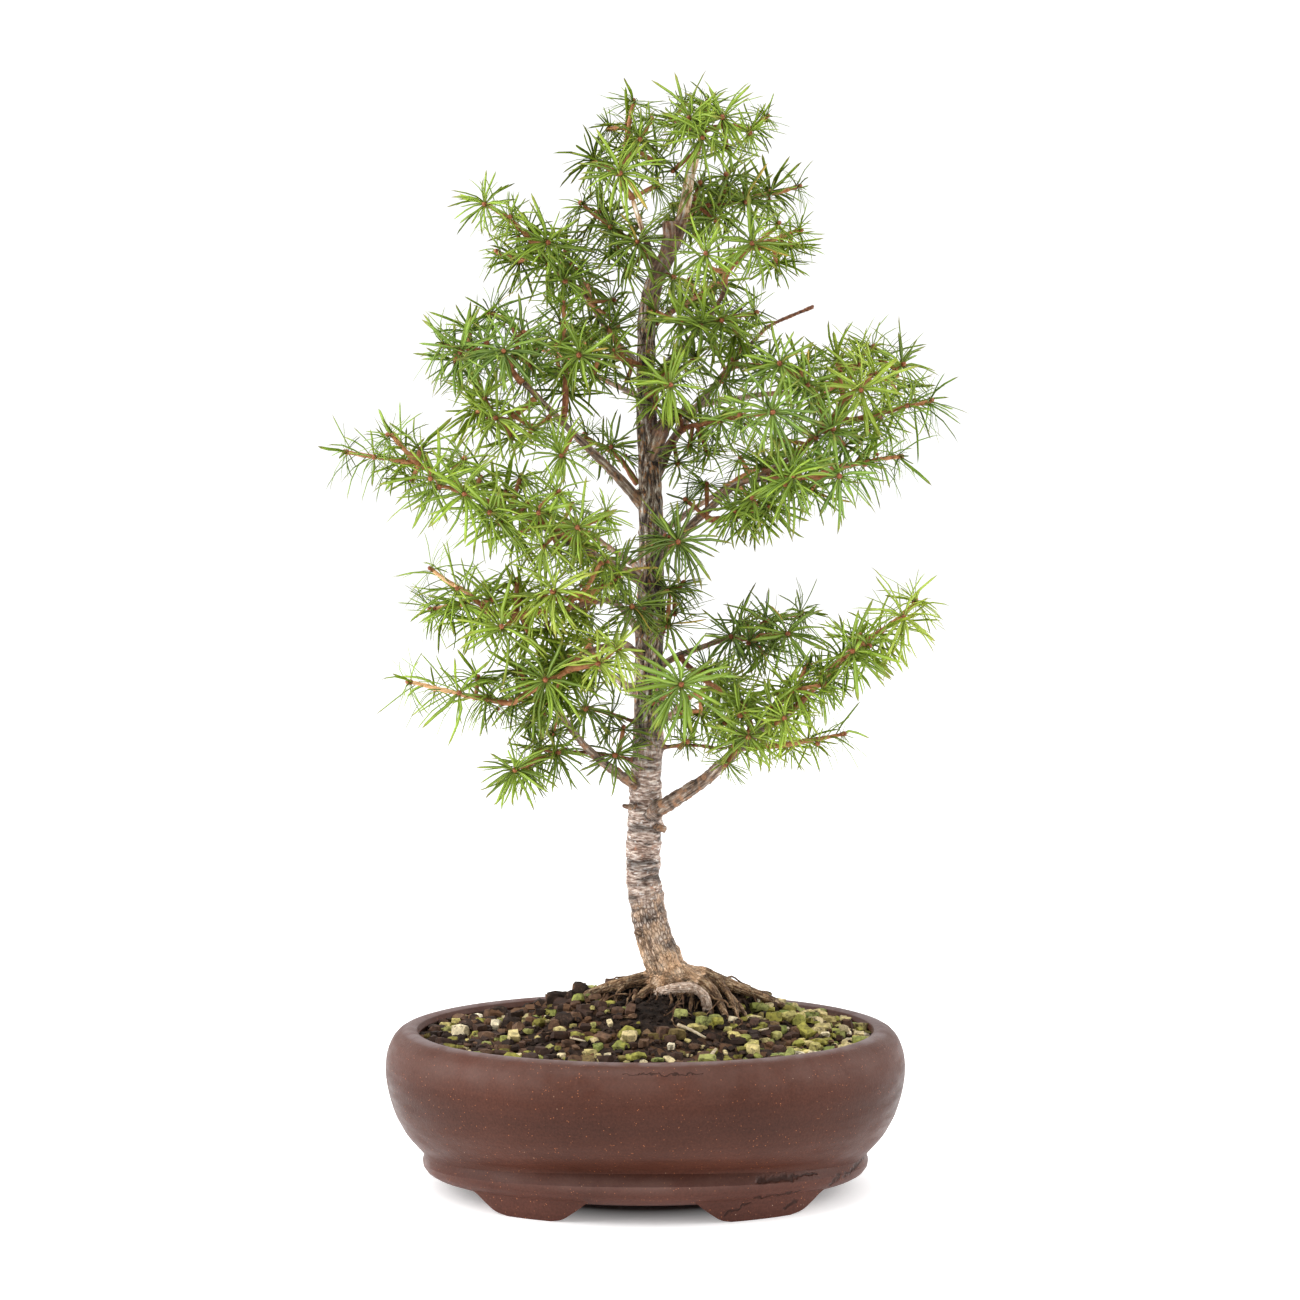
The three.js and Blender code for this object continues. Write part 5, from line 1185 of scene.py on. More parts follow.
def pot_feet():
    """The four feet: what a ring under the pot shares with a block on the left and one on the right."""
    inner = [point.to_tuple() for point in smooth_run(FOOT_INNER_EDGE, 1.2)]
    outer = [point.to_tuple() for point in smooth_run(FOOT_OUTER_EDGE, 1.2)]
    feet = bmesh.new()
    for side in (1, -1):
        slim = LEFT_FOOT_SLIMNESS if side < 0 else 0
        outline = [((x + slim) * side, z) for x, z in inner] + [((x - slim) * side, z) for x, z in outer]
        mesh = joined(spun(FOOT_RING), [("INTERSECT", cross_block(outline))])
        feet.from_mesh(mesh)
    bmesh.ops.recalc_face_normals(feet, faces=feet.faces)
    soft = [edge for edge in feet.edges
            if edge.is_manifold and edge.calc_face_angle() > math.radians(FOOT_SOFT_ANGLE)
            and max(vert.co.z for vert in edge.verts) < FOOT_SOFT_BELOW]
    bmesh.ops.bevel(feet, geom=soft, offset=FOOT_ROUNDING, offset_type="OFFSET", affect="EDGES",
                    segments=3, profile=0.5, material=-1, clamp_overlap=True)
    return feet


def drain_hole(x):
    bm = bmesh.new()
    bmesh.ops.create_cone(bm, cap_ends=True, segments=48, radius1=DRAIN_RADIUS, radius2=DRAIN_RADIUS,
                          depth=POT_FLOOR * 2, matrix=Matrix.Translation((x, 0, POT_FLOOR)))
    return bm


def make_pot():
    cuts = [("DIFFERENCE", drain_hole(x)) for x in DRAIN_PLACES]
    mesh = joined(pot_bowl(), [("UNION", pot_feet()), *cuts])
    smooth(mesh, 34)
    finish_piece("clay_pot", mesh, [unglazed_clay()], "pot_clay", "pot")


def make_drain_screens():
    """The two squares of plastic mesh keep the model's own shape."""
    plastic = black_mesh_plastic()
    for name in ("drain_screen_left", "drain_screen_right"):
        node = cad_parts[name]
        node.data.materials.clear()
        node.data.materials.append(plastic)


# ---------------------------------------------------------------- soil

def mound_lift(x, y):
    """How far the mound rises above the level of the soil beside the lip."""
    sideways = (x - MOUND_MIDDLE.x) / MOUND_HALF_WIDTH
    inwards = (y - MOUND_MIDDLE.y) / MOUND_HALF_DEPTH
    away = sideways ** 2 + inwards ** 2
    return MOUND_HEIGHT * math.exp(-(away ** MOUND_SHOULDER))


def crumbly(x, y):
    """The rise and dip of the crumbs of the compost."""
    coarse = noise.noise(Vector((x, y, 3)) / 7) * 1.5
    fine = noise.noise(Vector((x, y, 40)) / 2.6) * 1.1
    return coarse + fine


def hollow(x, y):
    """How deep the compost has been washed out between the roots."""
    return sum(depth * math.exp(-((x - middle_x) ** 2 + (y - middle_y) ** 2) / reach ** 2)
               for middle_x, middle_y, reach, depth in HOLLOWS)


def soil_height(x, y):
    return SOIL_LEVEL + mound_lift(x, y) + crumbly(x, y) - hollow(x, y)


def make_soil():
    """One body of compost that fills the pot, with a mound and hollows on top."""
    wall = [(POT_RIM, SOIL_LEVEL), *POT_INSIDE[1:POT_WALL_POINTS]]
    wall = [(a - SOIL_GAP, z + SOIL_GAP) for a, z in reversed(wall)]
    bm = spun([(0, SOIL_BOTTOM[1]), SOIL_BOTTOM, *wall, (0, SOIL_LEVEL + SOIL_GAP)])
    remesh = {"mode": "VOXEL", "voxel_size": SOIL_VOXEL, "use_smooth_shade": True}
    mesh = shaped_mesh(bm, [("REMESH", remesh)])
    for vert in mesh.vertices:
        if vert.co.z > SOIL_LEVEL - 1:
            vert.co.z = soil_height(vert.co.x, vert.co.y)
    finish_piece("compost_bed", mesh, [moist_compost()], "compost", "soil")


def pebble(draw, roundness):
    """One shape of grain: a cube that is divided, rounded and dented."""
    bm = bmesh.new()
    bmesh.ops.create_cube(bm, size=1)
    bmesh.ops.subdivide_edges(bm, edges=bm.edges, cuts=1, use_grid_fill=True)
    shift = Vector((draw.random(), draw.random(), draw.random())) * 50
    for vert in bm.verts:
        ball = vert.co.normalized() * 0.62
        vert.co = vert.co.lerp(ball, roundness)
        vert.co += noise.noise_vector(vert.co * 1.4 + shift) * 0.26
    mesh = mesh_of(bm)
    smooth(mesh, 27)
    mesh.attributes.new("tone", "FLOAT", "POINT")
    return mesh


def scatter(bm, shape, matrix, tone):
    """Adds one grain of a shape, with its tone, to a bmesh."""
    grain = shape.copy()
    grain.transform(matrix)
    grain.attributes["tone"].data.foreach_set("value", [tone] * len(grain.vertices))
    bm.from_mesh(grain)
    bpy.data.meshes.remove(grain)


def spread_places(draw, count, reach):
    """Places over the whole oval of the soil, evenly spread along a spiral and then shaken."""
    for i in range(count):
        away = math.sqrt((i + 0.5) / count) * reach
        turn = i * GOLDEN_TURN
        x = away * math.cos(turn) + draw.uniform(-1.6, 1.6)
        y = oval_depth(away) * math.sin(turn) + draw.uniform(-1.6, 1.6)
        yield x, y


def grain_matrix(draw, x, y, size, sink, flat):
    """A grain lying at random on the soil, sunk into it by a share of its size."""
    tilt = Matrix.Rotation(draw.uniform(-0.6, 0.6), 4, "X")
    turn = Matrix.Rotation(draw.uniform(0, math.tau), 4, "Z")
    stretch = Matrix.Diagonal((size * draw.uniform(0.9, 1.45), size * draw.uniform(0.65, 1), size * flat, 1))
    height = soil_height(x, y) + size * (0.5 * flat - sink)
    return Matrix.Translation((x, y, height)) @ (tilt @ turn) @ stretch


def make_grit():
    """Grains of grit, thick towards the lip and thin on the mound's dark middle."""
    draw = random.Random(21)
    shapes = [pebble(draw, mix(0.3, 0.8, i / GRIT_SHAPES)) for i in range(GRIT_SHAPES)]
    bm = bmesh.new()
    for x, y in spread_places(draw, settings().grit_count, POT_RIM - GRIT_LIP_GAP):
        middle = math.exp(-(((x - 12) / 30) ** 2 + (y / 30) ** 2) ** 1.5)
        bare = noise.noise(Vector((x, y, 9)) / 9) * mix(1.2, 0.5, clamp(0.5 + x / 120))
        if draw.random() < middle * 1.4 + clamp(bare):
            continue
        size = draw.choice(GRIT_SIZES)
        matrix = grain_matrix(draw, x, y, size, draw.uniform(0.0, 0.22), draw.uniform(0.45, 0.85))
        browner = clamp(0.55 - x / 110)
        tone = draw.random() ** mix(0.6, 1.8, browner)
        scatter(bm, draw.choice(shapes), matrix, tone)
    finish_piece("grit", mesh_of(bm), [mixed_grit()], "compost")


def make_crumbs():
    """Crumbs of compost between the grains and over the mound, and clods on the left."""
    draw = random.Random(34)
    shapes = [pebble(draw, 0.7) for _ in range(CRUMB_SHAPES)]
    bm = bmesh.new()
    for x, y in spread_places(draw, settings().crumb_count, POT_RIM - CRUMB_LIP_GAP):
        middle = math.exp(-(((x - 10) / 40) ** 2 + ((y + 2) / 36) ** 2))
        if draw.random() > 0.4 + middle:
            continue
        size = draw.uniform(0.7, 1.7) ** 1.8
        scatter(bm, draw.choice(shapes), grain_matrix(draw, x, y, size, 0.1, 0.8), draw.random())
    for _ in range(CLODS):
        x, y = (draw.gauss(middle, spread) for middle, spread in zip(CLOD_MIDDLE, CLOD_SPREAD))
        scatter(bm, draw.choice(shapes), grain_matrix(draw, x, y, draw.uniform(*CLOD_SIZE), 0.05, 0.9), 0.5)
    finish_piece("compost_crumbs", mesh_of(bm), [moist_compost()], "compost")


# ---------------------------------------------------------------- wood

def wood_lines():
    """Lines of all the old wood, each with whether it is a root."""
    lines = [(smooth_run(TRUNK, TRUNK_STEP), False)]
    lines += [(stem_line(route, thick, LIMB_STEP), True) for route, thick in ROOTS]
    for route, thick in LIMBS:
        slim = [radius * LIMB_SLIMNESS for radius in thick]
        lines.append((stem_line(route, slim, LIMB_STEP, LIMB_TAPER), False))
    lines += [(stem_line(route, thick, STUB_STEP), False) for route, thick in STUBS]
    return lines


def wandering(line, size, reach):
    """A line whose points stray a little, as a stem or root does, but whose start stays."""
    strayed = []
    for i, point in enumerate(line):
        place = point.to_3d()
        stray = noise.noise_vector(place / size) * reach * min(1, i / 4)
        strayed.append(Vector((*(place + stray), point.w * (1 + 0.14 * noise.noise(place / 3.1)))))
    return strayed


def stretched(grain, across, along):
    """A place in the grain of the wood, in units of a size across it and a size along it."""
    return Vector((grain.x / across, grain.y / across, grain.z / along))


def bark_relief(grain, height, thick, is_root):
    """How far the bark stands proud at a place, from -1 in a crack to 1 on a scale.

    It is scaly at the foot, wrinkled across the stem above that, and fissured along it further up."""
    near = noise.voronoi(stretched(grain, 2.6, 7))[0]
    scales = clamp((near[1] - near[0]) * 2.4) * 1.2 - 0.6
    wrinkles = 1.5 * noise.noise(stretched(grain, 10, 1.8)) + 0.6 * noise.noise(stretched(grain, 5, 1.1))
    fissures = 1.6 * noise.noise(stretched(grain, 2.1, 11)) + 0.5 * noise.noise(stretched(grain, 3.5, 3))
    relief = mix(wrinkles, scales, clamp((118 - height) / 20))
    relief = mix(relief, fissures, 0.8 if is_root else clamp((height - 172) / 25))
    relief += 0.5 * noise.noise(grain / 6)
    return clamp(relief, -1.3, 1.3) * clamp(thick / 4.5, 0.35, 1)


def make_wood():
    """The trunk, roots and limbs, grown together in one skin that carries the relief of the bark.

    Each of its points knows the nearest line of wood, and so its place in the grain."""
    bm = bmesh.new()
    finder = KDTree(4000)
    known = []
    for index, (line, is_root) in enumerate(wood_lines()):
        line = wandering(line, *WOOD_STRAY)
        add_tube(bm, line, THICK_WOOD[1] if line[0].w > THICK_WOOD[0] else THIN_WOOD_SIDES)
        passed = index * 37.0
        for i, (point, axes) in enumerate(zip(line, carried_frames(line))):
            passed += (point - line[i - 1]).length if i else 0
            finder.insert(point.to_3d(), len(known))
            shown = max(point.w, 5) if index == 0 else point.w
            known.append((point.to_3d(), axes, passed, point.w, shown, is_root, index == CURLED_ROOT))
    finder.balance()
    bmesh.ops.recalc_face_normals(bm, faces=bm.faces)
    voxel = settings().bark_voxel / MM
    mesh = shaped_mesh(bm, [
        ("REMESH", {"mode": "VOXEL", "voxel_size": voxel, "use_smooth_shade": True}),
        ("SMOOTH", BARK_SMOOTHING),
    ])
    bm = bmesh.new()
    bm.from_mesh(mesh)
    bm.normal_update()
    layer = bm.verts.layers.float_color.new("wood")
    grain_layer = bm.verts.layers.float_vector.new("grain")
    height = settings().bark_relief / MM
    moves = []
    for vert in bm.verts:
        nearest = min(finder.find_n(vert.co, 9), key=lambda found: found[2] - known[found[1]][3])
        middle, (across, up, along), passed, thick, shown, is_root, is_pale = known[nearest[1]]
        off = vert.co - middle
        grain = Vector((off.dot(across), off.dot(up), passed + off.dot(along)))
        relief = bark_relief(grain, vert.co.z, thick, is_root) * (0.3 if is_pale else 1)
        moves.append((vert, vert.normal * relief * height))
        vert[grain_layer] = grain
        has_root_bark = is_root and (vert.co - ROOT_CROWN).length > ROOT_BARK_FROM
        # The third part of the wood colour is the relief, from which the bark takes painted shade in its
        # cracks and painted light on its ridges.
        vert[layer] = (clamp(shown / 12), float(has_root_bark), clamp(0.5 + relief * 0.4), float(is_pale))
    for vert, move in moves:
        vert.co += move
    finish_piece("trunk_roots_and_limbs", mesh_of(bm), [larch_bark()], "bark", "trunk_and_limbs")


def make_hair_roots():
    """Fine roots that run over the mound, branch and hang down its front."""
    draw = random.Random(8)
    bm = bmesh.new()
    for route in HAIR_ROOTS:
        line = wandering(stem_line(route, HAIR_THICKNESS, 1.4), 4, 2.2)
        add_tube(bm, line, 6)
        for _ in range(HAIR_BRANCHES):
            start = draw.choice(line[2:-2]).to_3d()
            ends = [start + Vector((draw.uniform(-7, 7), draw.uniform(-7, 7), 0)) for _ in range(2)]
            for end in ends:
                end.z = soil_height(end.x, end.y) + draw.uniform(-0.4, 1.2)
            branch = [start, *ends]
            add_tube(bm, stem_line(branch, BRANCH_THICKNESS, 1.6), 5)
    for _ in range(STRANDS):
        x = draw.uniform(-26, 42)
        start = Vector((x, draw.uniform(-6, 0), 84.5 - abs(x - 9) * 0.22))
        foot = Vector((x + draw.uniform(-5, 5), start.y - draw.uniform(6, 15), 0))
        foot.z = soil_height(foot.x, foot.y) - 0.5
        middle = start.lerp(foot, 0.5) + Vector((draw.uniform(-2, 2), -1.5, draw.uniform(0, 1.5)))
        thick = draw.choice(STRAND_RADII)
        add_tube(bm, wandering(stem_line([start, middle, foot], (thick, thick * 0.6), 1.8), 4, 1.2), 6)
    bmesh.ops.recalc_face_normals(bm, faces=bm.faces)
    finish_piece("hair_roots", mesh_of(bm), [dry_root()], "bark")


def make_straws():
    """A few straws and splinters that lie on the compost."""
    bm = bmesh.new()
    for route, radius in STRAWS:
        add_tube(bm, stem_line(route, (radius, radius * 0.7), 2), 6)
    bmesh.ops.recalc_face_normals(bm, faces=bm.faces)
    finish_piece("straws", mesh_of(bm), [dry_straw()], "bark")


# ---------------------------------------------------------------- leafy sprays

def needle_shape(width, sway, bend, wave):
    """One needle a unit long along +Z, with the place of its tip: a flat blade with a low ridge along +Y."""
    bm = bmesh.new()
    face = bmesh.ops.create_circle(bm, cap_ends=True, segments=3, radius=0.5)["verts"][0].link_faces[0]
    edge_to_edge = max(vert.co.x for vert in bm.verts) * 2
    foot = NEEDLE_LEVELS[0][1]
    bmesh.ops.scale(bm, vec=(foot / edge_to_edge, foot, 1), verts=bm.verts)
    for (before, share_before), (level, share) in zip(NEEDLE_LEVELS, NEEDLE_LEVELS[1:]):
        made = bmesh.ops.extrude_face_region(bm, geom=[face], use_keep_orig=before == 0)["geom"]
        face = next(part for part in made if isinstance(part, bmesh.types.BMFace))
        bmesh.ops.translate(bm, vec=(0, 0, level - before), verts=face.verts)
        bmesh.ops.scale(bm, vec=(share / share_before, share / share_before, 1), verts=face.verts)
    bmesh.ops.pointmerge(bm, verts=face.verts, merge_co=(0, 0, 1))
    bmesh.ops.recalc_face_normals(bm, faces=bm.faces)
    layer = bm.verts.layers.float_color.new("leaf")
    for vert in bm.verts:
        vert[layer] = (vert.co.z, clamp(abs(vert.co.x) * 2), 0.5, 0.5)
        swayed = sway * vert.co.z ** 2
        waved = wave * NEEDLE_WAVE_KEPT * math.sin(math.tau * vert.co.z)
        vert.co.x = vert.co.x * width * NEEDLE_WIDTH_KEPT + swayed + waved
        vert.co.y = vert.co.y * width * NEEDLE_THICKNESS + bend * vert.co.z ** 2
    mesh = mesh_of(bm)
    smooth(mesh)
    mesh.polygons.foreach_set("material_index", [1] * len(mesh.polygons))
    return mesh, Vector((sway, bend, 0))


def bud_shape():
    """A small round bud, a unit across."""
    bm = bmesh.new()
    bmesh.ops.create_uvsphere(bm, u_segments=7, v_segments=5, radius=0.5)
    mesh = mesh_of(bm)
    smooth(mesh)
    mesh.polygons.foreach_set("material_index", [2] * len(mesh.polygons))
    return mesh


def leaf_shade_and_tint(place):
    """Lightness and warmth of the needles about a place. The lightness is painted light and shade: darker
    inside the crown, lower down and towards the back, brighter outside and higher up.
    """
    out = clamp(math.hypot(place.x, place.y * 0.8) / CROWN_HALF_WIDTH)
    # Painted shade inside the crown, below its middle and towards the back; painted light outside and above.
    light = mix(LIGHT_INSIDE, LIGHT_OUTSIDE, out)
    light += 0.1 * clamp((place.z - CROWN_MIDDLE) / CROWN_HALF_HEIGHT, -1, 1)
    light -= 0.18 * clamp(place.y / 25, -0.5, 1)
    warmth = 0.5
    for x, z, reach, light_there, warmth_there in LEAF_SHADES_AND_TINTS:
        share = clamp(1.6 - math.hypot(place.x - x, place.z - z) / reach) * (1 if place.y < 20 else 0)
        light = mix(light, light_there, clamp(share))
        warmth = mix(warmth, warmth_there, clamp(share))
    return light, warmth


def paleness(place):
    """How near a place is to one of the pale end shoots, from 0 to 1."""
    return max(clamp(1.7 - 1.7 * math.hypot(place.x - x, place.z - z) / reach) for x, z, reach in PALE_SHOOTS)


class Spray:
    """A leafy spray in the making: twigs, buds and needles in one bmesh."""

    def __init__(self, name, twigs, tufts, broad_shapes, fine_shapes, bud):
        self.draw = random.Random(name)
        self.bm = bmesh.new()
        self.leaf = self.bm.verts.layers.float_color.new("leaf")
        self.broad_shapes = broad_shapes
        self.fine_shapes = fine_shapes
        self.bud = bud
        self.lines = []
        first, other, tip = TWIG_THICKNESS
        for i, route in enumerate(twigs):
            thick = (other if i else first, tip)
            self.lines.append(wandering(stem_line(route, thick, TWIG_STEP), *TWIG_STRAY))
        self.tufts = [self.seated(Vector(tuft[:3]), tuft[3]) for tuft in tufts]

    def seated(self, centre, reach):
        """A large tuft: its middle, reach, axis, and its seat on the nearest twig if it stands off it."""
        far, seat, along = nearest_on(self.lines, centre)
        if far > SPUR_FROM:
            return centre, reach, (centre - seat).normalized(), seat
        return centre, reach, along, None

    def add_twigs(self):
        """Twigs that swell at the cushions their needles grew from, with a spur out to each large tuft."""
        for line in self.lines:
            knobbly = [point.copy() for point in line]
            for i, point in enumerate(knobbly):
                point.w *= 1 + 0.16 * (i % 3 == 1) + self.draw.uniform(-0.07, 0.07)
            add_tube(self.bm, knobbly, TWIG_SIDES)
        for centre, _, axis, seat in self.tufts:
            if seat:
                spur = [seat - axis * 0.3, seat.lerp(centre, 0.5) + Vector((0, 0, 0.25)), centre]
                add_tube(self.bm, stem_line(spur, SPUR_THICKNESS, 1.8), 6)
        self.mark_youth()
        for line in self.lines:
            along = (line[-1] - line[-2]).to_3d().normalized()
            self.add_bud(line[-1].to_3d(), along, self.draw.uniform(1.9, 2.4))

    def mark_youth(self):
        """Marks how young the twig is at each of its points, for its colour."""
        for vert in self.bm.verts:
            far = min((vert.co - line[-1].to_3d()).length for line in self.lines)
            vert[self.leaf] = (clamp(1 - far / YOUNG_REACH), paleness(vert.co), 0, 1)

    def stray(self, reach):
        """A small way in any direction."""
        return Vector([self.draw.uniform(-reach, reach) for _ in range(3)])

    def add_bud(self, place, axis, size):
        bud = self.bud.copy()
        turn = axis.to_track_quat("Z", "Y").to_matrix().to_4x4()
        bud.transform(Matrix.Translation(place) @ turn @ Matrix.Diagonal((size, size, size * 1.1, 1)))
        self.bm.from_mesh(bud)
        bpy.data.meshes.remove(bud)

    def add_needle(self, place, way, facing, bend_to, length, light, warmth, fine):
        """Adds a needle that sets out one way with its ridge facing another, and droops towards a third."""
        across = facing.cross(way).normalized()
        turn = Matrix((across, way.cross(across), way)).transposed()
        shapes = self.fine_shapes if self.draw.random() < fine else self.broad_shapes
        tried = self.draw.sample(shapes, 3)
        needle = max(tried, key=lambda shape: (turn @ shape[1]).dot(bend_to))[0].copy()
        needle.transform(Matrix.Translation(place) @ turn.to_4x4() @ Matrix.Scale(length, 4))
        colours = needle.attributes["leaf"].data
        values = [0.0] * (4 * len(colours))
        colours.foreach_get("color", values)
        values[2::4] = [clamp(light)] * len(colours)
        values[3::4] = [clamp(warmth)] * len(colours)
        colours.foreach_set("color", values)
        self.bm.from_mesh(needle)
        bpy.data.meshes.remove(needle)

    def add_tuft(self, centre, axis, reach, count, fine, bud):
        """A tuft of needles that spread all round from its bud."""
        light, warmth = leaf_shade_and_tint(centre)
        # Painted shade: the small tufts are made darker than the large ones.
        light += self.draw.uniform(-0.1, 0.1) + (0.02 if bud == LARGE_BUD else -0.11)
        self.add_bud(centre + axis * bud * 0.45, axis, bud * self.draw.uniform(0.88, 1.12))
        side = axis.orthogonal()
        first = self.draw.uniform(0, math.tau)
        for i in range(count):
            share = (i + 0.5) / count
            polar = math.acos(mix(0.86, -0.34, share ** 0.85)) + self.draw.uniform(-0.16, 0.16)
            turn = Matrix.Rotation(first + i * GOLDEN_TURN + self.draw.uniform(-0.8, 0.8), 3, axis)
            way = axis * math.cos(polar) + (turn @ side) * math.sin(polar)
            way = (way + self.stray(0.22) - UP * 0.06).normalized()
            length = reach * self.draw.uniform(0.72, 1.12) * (1 - 0.25 * clamp((0.3 - share) * 3))
            is_dry = self.draw.random() < 0.006
            # Painted shade: the needles that lean furthest back from the tuft's axis are made darker.
            tone = light + self.draw.uniform(-0.3, 0.28) - 0.16 * share
            warm = 1 if is_dry else min(warmth + self.draw.uniform(-0.12, 0.12), 0.93)
            facing = axis + self.stray(0.5)
            bend_to = self.stray(0.6) - axis * 0.3 - UP
            self.add_needle(centre + way * NEEDLE_FOOT, way, facing, bend_to, length, tone, warm, fine)

    @staticmethod
    def wispy(place):
        """How fine and drooping the needles are at a place, from 0 inside the crown to 1 at its ends."""
        outer = clamp((math.hypot(place.x, place.y * 0.6) - FINE_FROM) / FINE_OVER)
        return max(outer, 1.7 * paleness(place))

    def add_large_tufts(self):
        for centre, model_reach, axis, _ in self.tufts:
            wispy = self.wispy(centre)
            fullness = self.draw.uniform(0.85, 1.15) * (1 - 0.3 * wispy)
            count = round(settings().needles_per_tuft * fullness)
            reach = model_reach * TUFT_REACH_KEPT * (1 + 0.12 * wispy)
            self.add_tuft(centre, axis, reach, count, 0.08 + 0.36 * wispy, LARGE_BUD)

    def spiral(self, line, start, pitch, lean):
        """Points of a twig at least a pitch apart, each with a way out that turns on and leans to the tip."""
        turn = self.draw.uniform(0, math.tau)
        passed = 0
        frames = carried_frames(line)
        for i in range(start, len(line)):
            passed += (line[i] - line[i - 1]).length
            if passed < pitch:
                continue
            passed = 0
            turn += GOLDEN_TURN
            across, up, along = frames[i]
            way = (across * math.cos(turn) + up * math.sin(turn) + along * lean).normalized()
            yield line[i], way, along

    def add_small_tufts(self):
        """Smaller tufts along the twigs, where no large tuft stands."""
        taken = [centre for centre, _, _, _ in self.tufts]
        for line in self.lines:
            for point, way, _ in self.spiral(line, 2, settings().filler_pitch / MM, 0.35):
                centre = point.to_3d() + way * (point.w + SMALL_TUFT_OFF)
                clear = min((centre - other).length for other in taken) >= TUFT_CLEAR
                if not clear or way.y < FRONT_LEFT_FREE or paleness(centre) > 0.3:
                    continue
                taken.append(centre)
                wispy = self.wispy(centre)
                reach = self.draw.uniform(10, 18) + 5 * wispy
                count = round(self.draw.uniform(11, 18) * (1 - 0.4 * wispy))
                self.add_tuft(centre, way, reach, count, 0.2 + 0.5 * wispy, SMALL_BUD)

    def add_single_needles(self):
        """Single needles in a spiral along the outer part of each twig."""
        for line in self.lines:
            for point, way, along in self.spiral(line, len(line) // 3, 0, 0.9):
                place = point.to_3d()
                light, warmth = leaf_shade_and_tint(place)
                length = min(self.draw.uniform(11, 16) + 5 * self.wispy(place), LONGEST_SINGLE)
                facing = along + self.stray(0.4)
                bend_to = self.stray(0.3) - UP
                light += self.draw.uniform(-0.15, 0.1)
                self.add_needle(place, way, facing, bend_to, length, light, warmth, 0.65)


def make_sprays():
    broad = [needle_shape(*shape) for shape in BROAD_NEEDLES]
    fine = [needle_shape(*shape) for shape in FINE_NEEDLES]
    bud = bud_shape()
    looks = [young_bark(), larch_needle(), bud_scales()]
    for name, (twigs, tufts) in SPRAYS.items():
        spray = Spray(name, twigs, tufts, broad, fine, bud)
        spray.add_twigs()
        spray.add_large_tufts()
        spray.add_small_tufts()
        spray.add_single_needles()
        finish_piece(f"shoot_{name}", mesh_of(spray.bm), looks, "needles", f"spray_{name}")


# ---------------------------------------------------------------- stage

def add_lamp(name, place, power, size):
    """A large soft lamp that faces the middle of the plant."""
    lamp = bpy.data.lights.new(name, "AREA")
    lamp.energy = power
    lamp.size = size
    holder = added(name, lamp)
    holder.location = place
    holder.rotation_euler = (LAMPS_FACE - holder.location).to_track_quat("-Z", "Y").to_euler()


def make_world():
    """White all round, but dim on the side that the plant is seen from."""
    world = bpy.data.worlds.new("soft white studio")
    world.use_nodes = True
    tree = world.node_tree
    background = tree.nodes["Background"]
    facing = tree.nodes.new("ShaderNodeSeparateXYZ")
    tree.links.new(tree.nodes.new("ShaderNodeTexCoord").outputs["Generated"], facing.inputs[0])
    strength = tree.nodes.new("ShaderNodeMapRange")
    tree.links.new(facing.outputs["Y"], strength.inputs["Value"])
    for key, value in {"From Min": -0.9, "From Max": 0.2, "To Min": 0.3, "To Max": 1.1}.items():
        strength.inputs[key].default_value = value
    background.inputs["Color"].default_value = (1, 1, 1, 1)
    tree.links.new(strength.outputs["Result"], background.inputs["Strength"])
    bpy.context.scene.world = world


def make_floor():
    bm = bmesh.new()
    bmesh.ops.create_grid(bm, x_segments=1, y_segments=1, size=FLOOR_SIZE)
    mesh = mesh_of(bm)
    mesh.name = "floor"
    mesh.materials.append(pale_floor())
    floor = added("floor", mesh)
    floor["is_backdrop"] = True


def make_camera():
    lens = bpy.data.cameras.new("camera")
    lens.lens = CAMERA_LENS
    camera = added("camera", lens)
    camera.location = CAMERA_PLACE
    camera.rotation_euler = (math.radians(90 - CAMERA_DIP), 0, 0)
    bpy.context.scene.camera = camera


def make_stage():
    make_floor()
    bpy.context.scene.view_settings.view_transform = "Standard"
    make_world()
    for name, (place, share, size) in LAMPS.items():
        add_lamp(name, place, settings().lamp_power * share, size)
    make_camera()


# ---------------------------------------------------------------- the add-on

class LARCH_OT_pot(bpy.types.Operator):
    """Make the oval clay pot and finish the drain screens on its floor"""
    bl_idname = "larch.pot"
    bl_label = "Pot"

    def execute(self, context):
        make_pot()
        make_drain_screens()
        return {"FINISHED"}


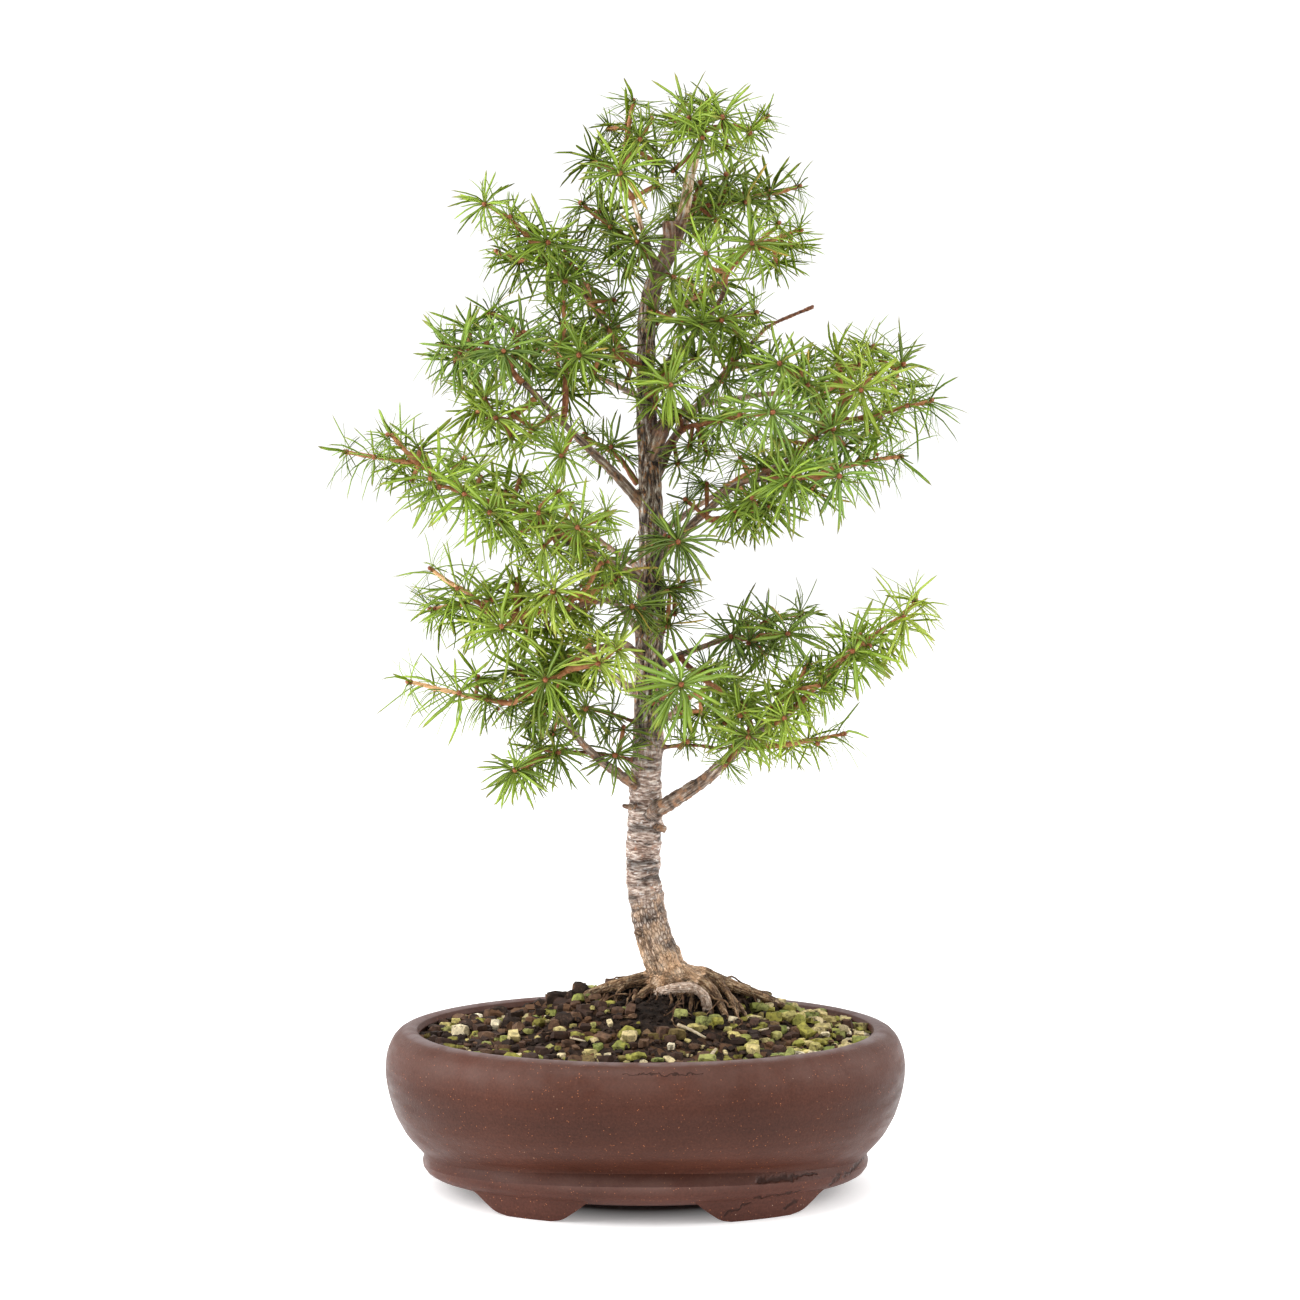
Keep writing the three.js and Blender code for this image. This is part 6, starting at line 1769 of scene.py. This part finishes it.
class LARCH_OT_soil(bpy.types.Operator):
    """Fill the pot with compost and lay the grit and the crumbs on it"""
    bl_idname = "larch.soil"
    bl_label = "Soil"

    def execute(self, context):
        make_soil()
        make_grit()
        make_crumbs()
        return {"FINISHED"}


class LARCH_OT_wood(bpy.types.Operator):
    """Grow the trunk, roots and limbs, with the fine roots and straws over the soil"""
    bl_idname = "larch.wood"
    bl_label = "Wood"

    def execute(self, context):
        make_wood()
        make_hair_roots()
        make_straws()
        return {"FINISHED"}


class LARCH_OT_sprays(bpy.types.Operator):
    """Grow the leafy sprays: twigs, buds and needles"""
    bl_idname = "larch.sprays"
    bl_label = "Sprays"

    def execute(self, context):
        make_sprays()
        return {"FINISHED"}


class LARCH_OT_stage(bpy.types.Operator):
    """Set up the pale floor, the soft lamps and the camera"""
    bl_idname = "larch.stage"
    bl_label = "Stage"

    def execute(self, context):
        make_stage()
        return {"FINISHED"}


STEPS = [LARCH_OT_stage, LARCH_OT_pot, LARCH_OT_soil, LARCH_OT_wood, LARCH_OT_sprays]


class LARCH_PT_panel(bpy.types.Panel):
    """The sizes and colours of the bonsai, and the steps that make it"""
    bl_idname = "LARCH_PT_panel"
    bl_label = "Larch Bonsai"
    bl_space_type = "VIEW_3D"
    bl_region_type = "UI"
    bl_category = "Larch Bonsai"

    def draw(self, context):
        for name in BonsaiSettings.__annotations__:
            self.layout.prop(settings(), name)
        for step in STEPS:
            self.layout.operator(step.bl_idname)


CLASSES = [BonsaiSettings, *STEPS, LARCH_PT_panel]


def register():
    for cls in CLASSES:
        bpy.utils.register_class(cls)
    bpy.types.Scene.larch_bonsai = PointerProperty(type=BonsaiSettings)


def unregister():
    del bpy.types.Scene.larch_bonsai
    for cls in reversed(CLASSES):
        bpy.utils.unregister_class(cls)


def main():
    register()
    bpy.ops.larch.stage()
    bpy.ops.larch.pot()
    bpy.ops.larch.soil()
    bpy.ops.larch.wood()
    bpy.ops.larch.sprays()
    boxes = {"cad": MODEL_BOX, "visual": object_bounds()}
    {name: [list(corner) for corner in box] for name, box in boxes.items()}


if __name__ == "__main__":
    main()
